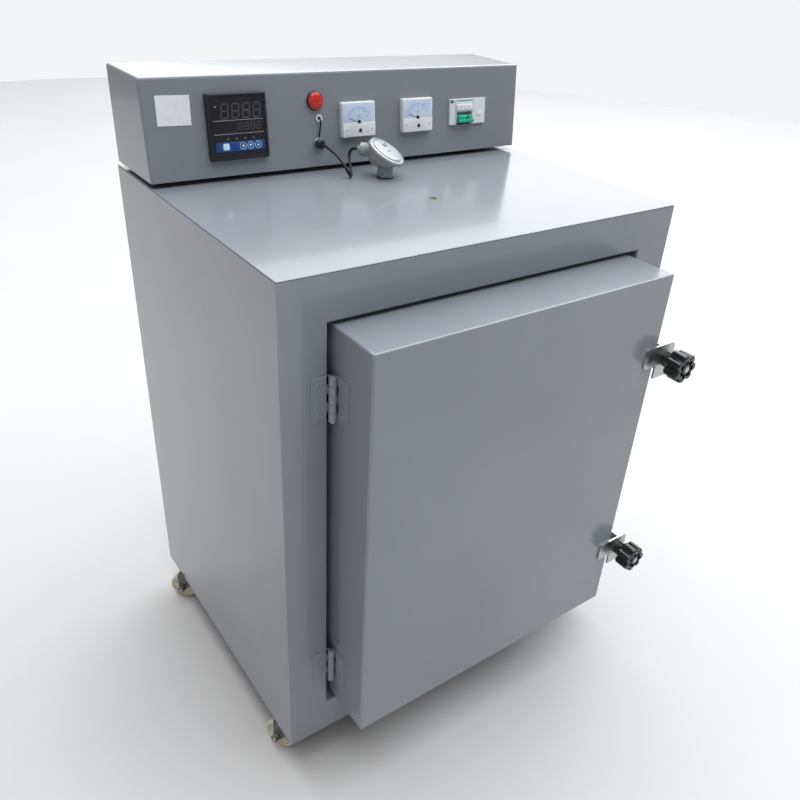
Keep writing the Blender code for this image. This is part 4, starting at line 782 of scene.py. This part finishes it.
# square front on a round body; ticks stand on an arc, major every fifth, and the needle rests below its start
def addMeter(side, middle, letter, node):
    s = meterSet
    halfWide, halfHigh = s["half"]
    out, ink = s["out"], s["ink"]
    can = (s["can"], s["can"], s["canCorner"])
    housing = loftShape([(*can, s["deep"]), (*can, s["seat"]), (halfWide, halfHigh, s["corner"], s["seat"]),
                         *easedRim(halfWide, halfHigh, s["corner"], out, s["ease"])])
    panelPiece(side + "MeterHousing", housing, middle, whiteAbs, (node,), sharp=28)

    face = out + s["dialProud"]
    under = out - s["sunk"]
    dial = slabShape(halfWide - s["dial"][0], halfHigh - s["band"] - s["dial"][1], s["dialCorner"], under, face,
                     s["dialEase"])
    panelPiece(side + "MeterDial", moved(dial, (0, s["band"] - s["dialUp"], 0)), middle, dialCardSkyReflection)
    low = -halfHigh + s["band"]
    band = slabShape(halfWide - s["bandInset"], s["band"] - s["bandInset"], s["bandCorner"], under,
                     out + s["bandProud"], s["bandEase"])
    ribs = barsShape([(x, 0.0) for x in np.linspace(*s["ribs"])], s["ribHalf"], 0, out, out + s["ribProud"])
    panelPiece(side + "MeterBand", moved(joined(band, ribs), (0, low, 0)), middle, whiteAbs)

    pivotX, pivotY = s["pivot"]
    ticks = np.linspace(*s["sweep"], s["minor"])
    major = np.arange(s["minor"]) % 5 == 0
    long, thick = np.where(major, s["long"][0], s["long"][1]), np.where(major, s["thick"][0], s["thick"][1])
    reach = s["arc"] + long
    marks = barsShape(np.stack([pivotX + reach * np.cos(ticks), pivotY + reach * np.sin(ticks)], 1),
                      np.stack([long, thick], 1), ticks, face - ink, face + ink)
    sweep = np.linspace(*s["sweep"], 40)
    outer, inner = [np.stack([pivotX + (s["arc"] + wide) * np.cos(sweep),
                              pivotY + (s["arc"] + wide) * np.sin(sweep)], 1) for wide in s["arcWide"]]
    line = prismShape(np.concatenate([outer, inner[::-1]]), face - ink, face + ink)
    numbers = [moved(textShape(str(i * 10), s["numberSize"], face - ink, face + ink),
                     (pivotX + s["numberArc"] * math.cos(a), pivotY + s["numberArc"] * math.sin(a), 0))
               for i, a in enumerate(np.linspace(*s["sweep"], 5))]
    name = moved(textShape(letter, s["letterSize"], face - ink, face + ink), (0, s["letterUp"], 0))
    panelPiece(side + "MeterScale", joined(marks, line, *numbers, name), middle, tealInk)

    lean = s["needleTurn"]
    middleX, middleY = s["needleMiddle"] * math.cos(lean), s["needleMiddle"] * math.sin(lean)
    foot, crest = s["needleHeights"]
    needle = barsShape([(pivotX + middleX, pivotY + middleY)], s["needleHalf"], lean, face + foot, face + crest)
    hub = moved(turnedShape(s["hub"], 32), (pivotX, pivotY + s["hubUp"], face - ink))
    zero = moved(turnedShape(s["zero"], 32), (s["zeroAt"][0], low + s["zeroAt"][1], out + s["zeroProud"]))
    panelPiece(side + "MeterNeedle", joined(needle, hub, zero), middle, blackAbs)
    head = screwShape(*s["screw"])
    heads = [moved(head, (x, low + s["screwUp"], out + s["bandProud"])) for x in s["screws"]]
    panelPiece(side + "MeterScrews", joined(*heads), middle, zinc)


breakerSet = {
    "middle": (0.590, 0.0690), "high": 0.022, "out": 0.0043, "ink": 0.0001, "inkProud": 0.00012, "line": 0.0002,
    "bridge": (0.0185, 0.0048, 0.0008), "bridgeAt": (-0.0075, 0.0075), "bridgeProud": 0.0022,
    "bridgeEase": 0.0005, "sunk": 0.0003,
    "topLine": (-0.0075, 0.0189), "topLineHalf": (0.0182, 0.0008),
    "seams": (0.0128, -0.0282), "seamHalf": 0.0003, "seamShort": 0.001,
    "splitHalf": 0.00025, "splitTall": (0.0047, 0.0044),
    "notch": (-0.0365, 0.0182), "notchHalf": (0.0030, 0.0026), "holes": (-0.0160, 0.0010), "holeUp": 0.0085,
    "hole": ((0, 0.0001), (0.0011, 0.0001), (0.0011, 0), (0, 0)),
    "button": (0.0045, 0.0036, 0.0008), "buttonAt": (0.0270, -0.0045), "buttonProud": 0.0012,
    "buttonEase": 0.0003,
    "handle": (0.5825, 0.0580), "barrel": (0.0064, 0.0060, 0.017, 0.0166), "shaft": -0.001,
    "post": (0.0046, 0.0047, 0.0012, 0.0035, 0.0098, 0.0010), "posts": (-0.0105, 0.0105), "postUp": -0.0005,
    "bar": (0.0169, 0.0026, 0.0014, 0.0030, 0.0124, 0.0009), "barUp": -0.0045,
}


# the poles' raised bridge with a printed line above it, seams between the poles, a test button, and the twin
# handle: a barrel on the cross shaft, two posts and a bar that joins them
def addBreaker():
    s = breakerSet
    middle, out, sunk = s["middle"], s["out"], s["sunk"]
    x, y = s["bridgeAt"]
    crest, top, under = out + s["bridgeProud"], out + s["inkProud"], out - s["ink"]
    bridge = moved(slabShape(*s["bridge"], out - sunk, crest, s["bridgeEase"]), (x, y, 0))
    panelPiece("breakerBridge", bridge, middle, whiteAbs)
    topLine = barsShape([s["topLine"]], s["topLineHalf"], 0, under, out + s["line"])
    panelPiece("breakerTopLine", topLine, middle, greenAbs)

    tall = s["high"] - s["seamShort"]
    seams = barsShape([(s["seams"][0], 0.0), (s["seams"][1], 0.0), (x, y)],
                      [(s["seamHalf"], tall), (s["seamHalf"], tall), (s["splitHalf"], s["splitTall"][0])],
                      0, under, top)
    split = barsShape([(x, y)], (s["splitHalf"], s["splitTall"][1]), 0, crest - s["ink"], crest + s["inkProud"])
    hole = turnedShape(s["hole"], 20)
    holes = [moved(hole, (place, s["holeUp"], crest)) for place in s["holes"]]
    notch = barsShape([s["notch"]], s["notchHalf"], 0, under, out + s["line"])
    # seams, split, notch and holes are flat dark marks: painted shade for the gaps between poles and the bores
    panelPiece("breakerSeamAndHoleShade", joined(seams, split, notch, *holes), middle, seamAndHoleShade)
    button = slabShape(*s["button"], out - sunk, out + s["buttonProud"], s["buttonEase"])
    panelPiece("breakerButton", moved(button, (*s["buttonAt"], 0)), middle, whiteAbs)

    outer, end, half, shoulder = s["barrel"]
    barrel = turnedShape([(0, -half), (end, -half), (outer, -shoulder), (outer, shoulder), (end, half),
                          (0, half)], 40)
    barrel = placed(barrel, (0, 0, s["shaft"]), (0, 1, 0), (0, 0, 1), (1, 0, 0))
    posts = [moved(slabShape(*s["post"]), (place, s["postUp"], 0)) for place in s["posts"]]
    bar = moved(slabShape(*s["bar"]), (0, s["barUp"], 0))
    panelPiece("breakerHandle", joined(barrel, bar, *posts), s["handle"], greenAbs,
               ("breaker_toggle",), "toggle")


# profiles are (radius, height above the panel)
lampSet = {
    "middle": (0.2769, 0.1020),
    "bezel": ((0, -0.030), (0.0108, -0.030), (0.0108, 0.0003), (0.0145, 0.0003), (0.0145, 0.0030),
              (0.0138, 0.0041), (0.0124, 0.0041), (0.0119, 0.0034), (0, 0.0034)),
    "lens": ((0, 0.0042), (0.0134, 0.0042), (0.0134, 0.0050), (0.0126, 0.0058), (0.0114, 0.0058)),
    "dome": (0.0112, 0.0026, 0.0060, 0.0086),  # radius, rise, foot and crown
}
bushingSet = {
    "middle": (0.2835, 0.0745), "neck": 0.0045, "bore": 0.0030, "deep": -0.0057,
    "seat": ((0.0045, 0.0002), (0.0062, 0.0003)),
    "lip": (0.0046, 0.0016, 0.0006, 0.0012),  # middle radius, half width, foot and rise
}
glandSet = {
    "flange": ((0, 0.0003), (0.0098, 0.0003), (0.0098, 0.0026), (0.0092, 0.0034), (0, 0.0034)),
    "nut": ((0, 0.0030), (0.0082, 0.0030), (0.0082, 0.0072), (0.0066, 0.0092), (0.0052, 0.0098),
            (0.0026, 0.0098), (0, 0.0096)),
}


# lamp under a domed lens, the lead's bushing with a half-round lip, and the cable's gland on its flange
def addLamp():
    panelPiece("lampBezel", turnedShape(lampSet["bezel"], 64), lampSet["middle"], blackAbs,
               ("pilot_lamp",))
    radius, rise, foot, crown = lampSet["dome"]
    dome = [(radius * math.sin(a), foot + rise * math.cos(a)) for a in np.radians(np.linspace(90, 0, 10))]
    lens = turnedShape([*lampSet["lens"], *dome[::-1][:-1], (0, crown)], 64)
    panelPiece("lampLens", lens, lampSet["middle"], redLens, ("pilot_lamp_lens",), sharp=60)

    around, wide, level, rise = bushingSet["lip"]
    neck, deep = bushingSet["neck"], bushingSet["deep"]
    lip = [(around + wide * math.cos(a), level + rise * math.sin(a))
           for a in np.radians(np.linspace(0, 180, 9))]
    bush = turnedShape([(neck, deep), *bushingSet["seat"], *lip, (bushingSet["bore"], deep)], 48, closed=True)
    panelPiece("leadBushing", bush, bushingSet["middle"], whiteAbs, ("lead_bushing",))
    panelPiece("cableGland", turnedShape(glandSet["nut"], 56), cableSet["gland"], blackAbs,
               ("cable_gland",))
    panelPiece("glandFlange", turnedShape(glandSet["flange"], 56), cableSet["gland"], zinc)


labelSet = {"middle": (0.0461, 0.0995), "half": (0.0252, 0.0208), "lean": math.radians(-1.5),
            "out": 0.0003, "thick": 0.00025, "bow": 0.00018, "grid": (25, 17)}


# a blank label: a thin grid turned a little, that bows off the sheet by (1 - cos(2.2 u + 1.3 v)) / 2
def addLabel():
    s = labelSet
    rows, columns = s["grid"]
    u = np.linspace(-1, 1, rows)[:, None]
    v = np.linspace(-1, 1, columns)[None, :]
    bow = s["bow"] * (1 - np.cos(2.2 * u + 1.3 * v)) / 2
    x = s["half"][0] * u + 0 * v
    y = s["half"][1] * v + 0 * u
    cosine, sine = math.cos(s["lean"]), math.sin(s["lean"])
    sheet = np.stack([x * cosine - y * sine, x * sine + y * cosine, s["out"] + s["thick"] + bow], -1)
    upper, faces = gridShape(sheet)
    lower, underFaces = gridShape(sheet * (1, 1, 0) + (0, 0, s["out"]))
    count = rows * columns
    rim = ([i * columns for i in range(rows)] + [(rows - 1) * columns + j for j in range(1, columns)]
           + [i * columns + columns - 1 for i in range(rows - 2, -1, -1)] + list(range(columns - 2, 0, -1)))
    sides = [[a, b, b + count, a + count] for a, b in zip(rim, rim[1:] + rim[:1])]
    shape = (np.concatenate([upper, lower]), faces + [[v + count for v in face] for face in underFaces] + sides)
    panelPiece("blankLabel", shape, s["middle"], paper)


addController()
addMeter("left", (0.354, 0.0698), "A", "left_panel_meter")
addMeter("right", (0.474, 0.0698), "V", "right_panel_meter")
addBreaker()
addLamp()
addLabel()
print("control panel ready")

# Thermocouple head: profiles are (radius, height); the lid's rim is (inset from its radius, height)
bowlSet = {
    "profile": ((0.0, 0.0), (0.0130, 0.0), (0.0130, 0.0150), (0.0137, 0.0168), (0.0165, 0.0186),
                (0.0205, 0.0200), (0.0242, 0.0220), (0.0267, 0.0255), (0.0279, 0.0300), (0.0285, 0.0340),
                (0.0285, 0.0420), (0.0285, 0.0480), (0.0285, 0.0580), (0.0, 0.0580)),
    "branch": ((0, 0.0225), (0.0104, 0.0225), (0.0104, 0.0300), (0.0096, 0.0306), (0.0096, 0.0322),
               (0.0110, 0.0328), (0.0110, 0.0424), (0.0104, 0.0430), (0, 0.0430)),
    "ferrule": ((0, 0), (0.0042, 0), (0.0042, 0.0038), (0.0038, 0.0048), (0.0028, 0.0050), (0, 0.0050)),
    "ring": ((0.0128, 0.0002), (0.0142, 0.0002), (0.0142, 0.0016), (0.0131, 0.0019)),
    "gap": 0.0003, "steps": 96,
}
lidSet = {
    "radius": 0.032, "tilt": math.radians(31), "turn": math.radians(-52), "seat": 0.039,
    "rim": ((0.0007, 0), (0, 0.0007), (0, 0.0032), (0.0006, 0.0042), (0.0016, 0.0046), (0.0032, 0.0046),
            (0.0036, 0.0030), (0.0056, 0.0030), (0.0060, 0.0044), (0.0066, 0.0056), (0.0084, 0.0062),
            (0.0100, 0.0063)),
    "crown": 0.0070, "bossAt": (-0.0105, 0.0060, 0),
    "boss": ((0, 0.0060), (0.0048, 0.0060), (0.0046, 0.0092), (0.0040, 0.0098), (0.0024, 0.0098),
             (0.0022, 0.0080), (0, 0.0080)),
    "slot": (0.0030, -0.0020), "slotHalf": (0.0008, 0.0050), "slotTurn": 0.15, "slotHeights": (0.0068, 0.0072),
    "hole": ((0, 0.0003), (0.0021, 0.0003), (0.0021, 0), (0, 0)), "holeFoot": 0.0080,
}


# across, up and out of the tilted lid: out leans by the tilt towards the turn, up stays level
def lidAxes():
    tilt, turn = lidSet["tilt"], lidSet["turn"]
    across = np.array((math.cos(turn) * math.cos(tilt), math.sin(turn) * math.cos(tilt), -math.sin(tilt)))
    up = np.array((-math.sin(turn), math.cos(turn), 0))
    return across, up, np.cross(across, up)


# bowl: a turned profile whose height is cut down to the slanting seat's plane; the branch lies level, the lid
# and its boss stand on the seat
def addHead():
    across, up, out = lidAxes()
    gap = bowlSet["gap"]
    place = np.array(headSet["place"])
    seat = place + (0, 0, lidSet["seat"])
    turns = np.linspace(0, 2 * np.pi, bowlSet["steps"], endpoint=False)
    radius, height = np.array(bowlSet["profile"]).T
    x = radius[None] * np.cos(turns)[:, None]
    y = radius[None] * np.sin(turns)[:, None]
    slant = (lidSet["seat"] - gap) - (out[0] * x + out[1] * y) / out[2]
    z = np.minimum(height[None] + 0 * x, slant)
    bowl = moved(gridShape(np.stack([x, y, z], -1), closedRows=True), place + (0, 0, gap))
    axis = place + (0, 0, headSet["branchUp"])
    level = np.array((-branchSide[1], branchSide[0], 0))
    branch = placed(turnedShape(bowlSet["branch"], 48), axis, level, (0, 0, 1), branchSide)
    addPiece("headBowl", joined(bowl, branch), castPaint, "cabinet",
             ("thermocouple_head",), 30)

    rim = [(lidSet["radius"] - inset, rise) for inset, rise in lidSet["rim"]]
    lid = placed(turnedShape([(0, 0), *rim, (0, lidSet["crown"])], 120), seat + out * gap, across, up, out)
    boss = placed(moved(turnedShape(lidSet["boss"], 36), lidSet["bossAt"]), seat, across, up, out)
    addPiece("headLid", joined(lid, boss), castBright, "cabinet", ("thermocouple_lid",), 30)
    # the slot and the boss's hole are a black bar and a black disc laid on the lid: painted shade for a groove
    # and a bore
    slot = barsShape([lidSet["slot"]], lidSet["slotHalf"], lidSet["slotTurn"], *lidSet["slotHeights"])
    hole = moved(turnedShape(lidSet["hole"], 24), np.add(lidSet["bossAt"], (0, 0, lidSet["holeFoot"])))
    addPiece("headLidSlotAndHoleShade", placed(joined(slot, hole), seat, across, up, out), blackAbs, "cabinet")

    ferrule = placed(turnedShape(bowlSet["ferrule"], 36), axis + branchSide * (headSet["branchEnd"] + gap),
                     level, (0, 0, 1), branchSide)
    addPiece("headFerrule", ferrule, castBright, "cabinet", ("head_gland",))
    ring = moved(turnedShape(bowlSet["ring"], 48, closed=True), place)  # thin black ring round the neck's foot
    addPiece("neckRing", ring, blackAbs, "cabinet")


addHead()
print("thermocouple head ready")

# Heating coils in the walls' grooves
coilSet = {"wire": 0.0008, "radius": 0.0051, "pitch": 0.0042, "inset": 0.006, "rows": 5, "bend": 12,
           "points": 11, "sides": 5}


# each row is a helix along the wall: x and z go round by cos and sin, y runs on evenly; at its end a plain
# length of wire rises to the next row
def addCoil(side):
    s = coilSet
    low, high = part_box("heating_element_" + side)
    x = (low[0] + high[0]) / 2
    front, back = low[1] + s["inset"], high[1] - s["inset"]
    rows = np.linspace(low[2] + s["inset"], high[2] - s["inset"], s["rows"])
    turns = int((back - front) / s["pitch"])
    angle = np.linspace(0, 2 * np.pi * turns, turns * s["points"])
    y = np.linspace(front, back, len(angle))
    rise = np.linspace(0, 1, s["bend"])
    shapes = []
    for i, z in enumerate(rows):
        path = np.stack([x + s["radius"] * np.cos(angle), y, z + s["radius"] * np.sin(angle)], 1)
        shapes.append(tubeShape(path, s["wire"], (0, 1, 0), s["sides"]))
        if i < s["rows"] - 1:
            end = back if i % 2 == 0 else front
            bend = np.stack([x + 0 * rise + s["radius"], end + 0 * rise, z + (rows[i + 1] - z) * rise], 1)
            shapes.append(tubeShape(bend, s["wire"], (0, 1, 0), s["sides"]))
    addPiece("heatingCoil_" + side, joined(*shapes), heatWire, "cabinet",
             ("heating_element_" + side,), 60)


for side in ("left", "right"):
    addCoil(side)
print("coils ready")

# Casters: wheels turned in one go, and the axles' ends
wheelSet = {
    "radius": 0.028, "half": 0.010, "bore": 0.0033, "round": 0.0030,
    "hub": (0.0082, 0.0092), "rim": (0.0215, 0.0228), "web": 0.0022,  # edges of the dished web, and its drop
    "axleEnd": ((0, 0.0008), (0.0032, 0.0008), (0.0034, 0.0), (0.0034, -0.0006), (0, -0.0006)),
    "axleOut": 0.0220,
}


# a wheel's half profile runs out from the bore over the dished web to a quarter-round tread, then mirrors
def addWheel(corner):
    joint = [j for j in frame["record"]["behaviour"]["joints"] if j["name"] == corner + "_roll"][0]
    centre = np.array(joint["pos_m"], float)
    axle = np.array(joint["axis"], float)
    level = np.cross(axle, (0, 0, 1.0))
    r, h, ease = wheelSet["radius"], wheelSet["half"], wheelSet["round"]
    dish = h - wheelSet["web"]
    tread = [(r - ease + ease * math.cos(a), h - ease + ease * math.sin(a))
             for a in np.radians(np.linspace(90, 0, 7))]
    side = [(wheelSet["bore"], h), (wheelSet["hub"][0], h), (wheelSet["hub"][1], dish),
            (wheelSet["rim"][0], dish), (wheelSet["rim"][1], h), *tread]
    wheel = turnedShape(side + [(a, -b) for a, b in side[::-1]], 72, closed=True)
    addPiece("wheel_" + corner, placed(wheel, centre, level, (0, 0, 1), axle), nylon, corner + "_wheel",
             (corner + "_caster_wheel",), 30)
    ends = [placed(turnedShape(wheelSet["axleEnd"], 24), centre + axle * way * wheelSet["axleOut"],
                   level, (0, 0, way), axle * way) for way in (-1, 1)]
    addPiece("axleEnds_" + corner, joined(*ends), zinc, corner + "_fork")


for corner in ("front_left", "front_right", "rear_left", "rear_right"):
    addWheel(corner)
print("casters ready")

# Small fixings: screws round the back sheet, and a blind rivet on the door's hinge side
backSet = {"radius": 0.0042, "proud": 0.0014, "sunk": 0.0002, "columns": (-0.335, 0.0, 0.335),
           "rows": (0.095, 0.360, 0.620, 0.880)}
rivetSet = {"place": (-0.2775, -0.2254, 0.289), "radius": 0.0026, "proud": 0.0008}


# the outer columns hold a screw in each row, the middle column only in the first and last
def addFixings():
    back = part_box("back_panel")[1][1] - backSet["sunk"]
    head = screwShape(backSet["radius"], backSet["proud"])
    heads = [placed(head, (x, back, z), (-1, 0, 0), (0, 0, 1), (0, 1, 0))
             for x in backSet["columns"] for z in backSet["rows"] if x or z in backSet["rows"][::3]]
    addPiece("backScrews", joined(*heads), zinc, "cabinet")
    rivet = placed(screwShape(rivetSet["radius"], rivetSet["proud"]), rivetSet["place"],
                   (0, 1, 0), (0, 0, 1), (-1, 0, 0))
    addPiece("doorRivet", rivet, darkSteelAndGapShade, "door")


addFixings()
print("fixings ready")

# Floor: matt pale studio vinyl, a faint drift of tone, cut round so that its edge fades into the background
floorSet = {"middle": (1.2, 1.0), "reach": 5.6, "sides": 96}
floorPaint = makeMaterial("paleStudioVinyl", {
    "colours": ("#c6c6c5", "#c2c2c1"), "patchMm": 900, "grainMm": 3.0, "grainDeepMm": 0.02,
    "roughness": (0.7, 0.8), "shader": {"Specular IOR Level": 0.05},
})[0]


# one flat face whose corners stand evenly on a circle
def addFloor():
    turns = np.linspace(0, 2 * np.pi, floorSet["sides"], endpoint=False)
    middle, reach = floorSet["middle"], floorSet["reach"]
    mesh = bpy.data.meshes.new("floor")
    mesh.from_pydata([(middle[0] + reach * math.cos(a), middle[1] + reach * math.sin(a), 0) for a in turns],
                     [], [range(floorSet["sides"])])
    mesh.materials.append(floorPaint)
    floor = bpy.data.objects.new("floor", mesh)
    bpy.context.scene.collection.objects.link(floor)


# Light: radiance is in W per square metre and steradian; one big soft box overhead, one behind that only the
# gloss mirrors, and a low warm one on the left
lights = {
    "skyBox": {"place": (3.0, 0.8, 7.0), "target": (3.0, 0.8, 0.0), "size": (12.0, 12.0), "radiance": 3.5,
               "tint": "#fbfcff", "mirrorOnly": False},
    "backBox": {"place": (3.1, 4.2, 3.7), "target": (0.0, 0.1, 0.9), "size": (7.0, 4.0), "radiance": 1.9,
                "tint": "#ffffff", "mirrorOnly": True},
    "leftFill": {"place": (-3.8, 1.4, 0.9), "target": (0.0, 0.1, 0.5), "size": (3.6, 1.4), "radiance": 0.35,
                 "tint": "#ffa860", "mirrorOnly": False},
}
studio = {"tint": "#f4f5f7", "light": 0.4, "seen": 1.0}  # strength as light, and as the background seen


# a box's power is its radiance times pi times its area
def addLights():
    for name, s in lights.items():
        data = bpy.data.lights.new(name, "AREA")
        data.shape = "RECTANGLE"
        data.size, data.size_y = s["size"]
        data.energy = s["radiance"] * math.pi * s["size"][0] * s["size"][1]
        data.color = tone(s["tint"])[:3]
        light = bpy.data.objects.new(name, data)
        light.location = s["place"]
        light.visible_diffuse = not s["mirrorOnly"]
        light.rotation_euler = (Vector(s["target"]) - Vector(s["place"])).to_track_quat("-Z", "Y").to_euler()
        bpy.context.scene.collection.objects.link(light)
    world = bpy.context.scene.world or bpy.data.worlds.new("studio")
    bpy.context.scene.world = world
    world.use_nodes = True
    tree = world.node_tree
    back = tree.nodes.get("Background")
    back.inputs["Color"].default_value = tone(studio["tint"])
    seen = addNode(tree, "ShaderNodeLightPath").outputs["Is Camera Ray"]
    strength = addNode(tree, "ShaderNodeMapRange", None,
                       {"Value": seen, "To Min": studio["light"], "To Max": studio["seen"]})
    tree.links.new(strength.outputs[0], back.inputs["Strength"])
    bpy.context.scene.view_settings.view_transform = "Standard"


addFloor()
addLights()
print("floor and light ready")
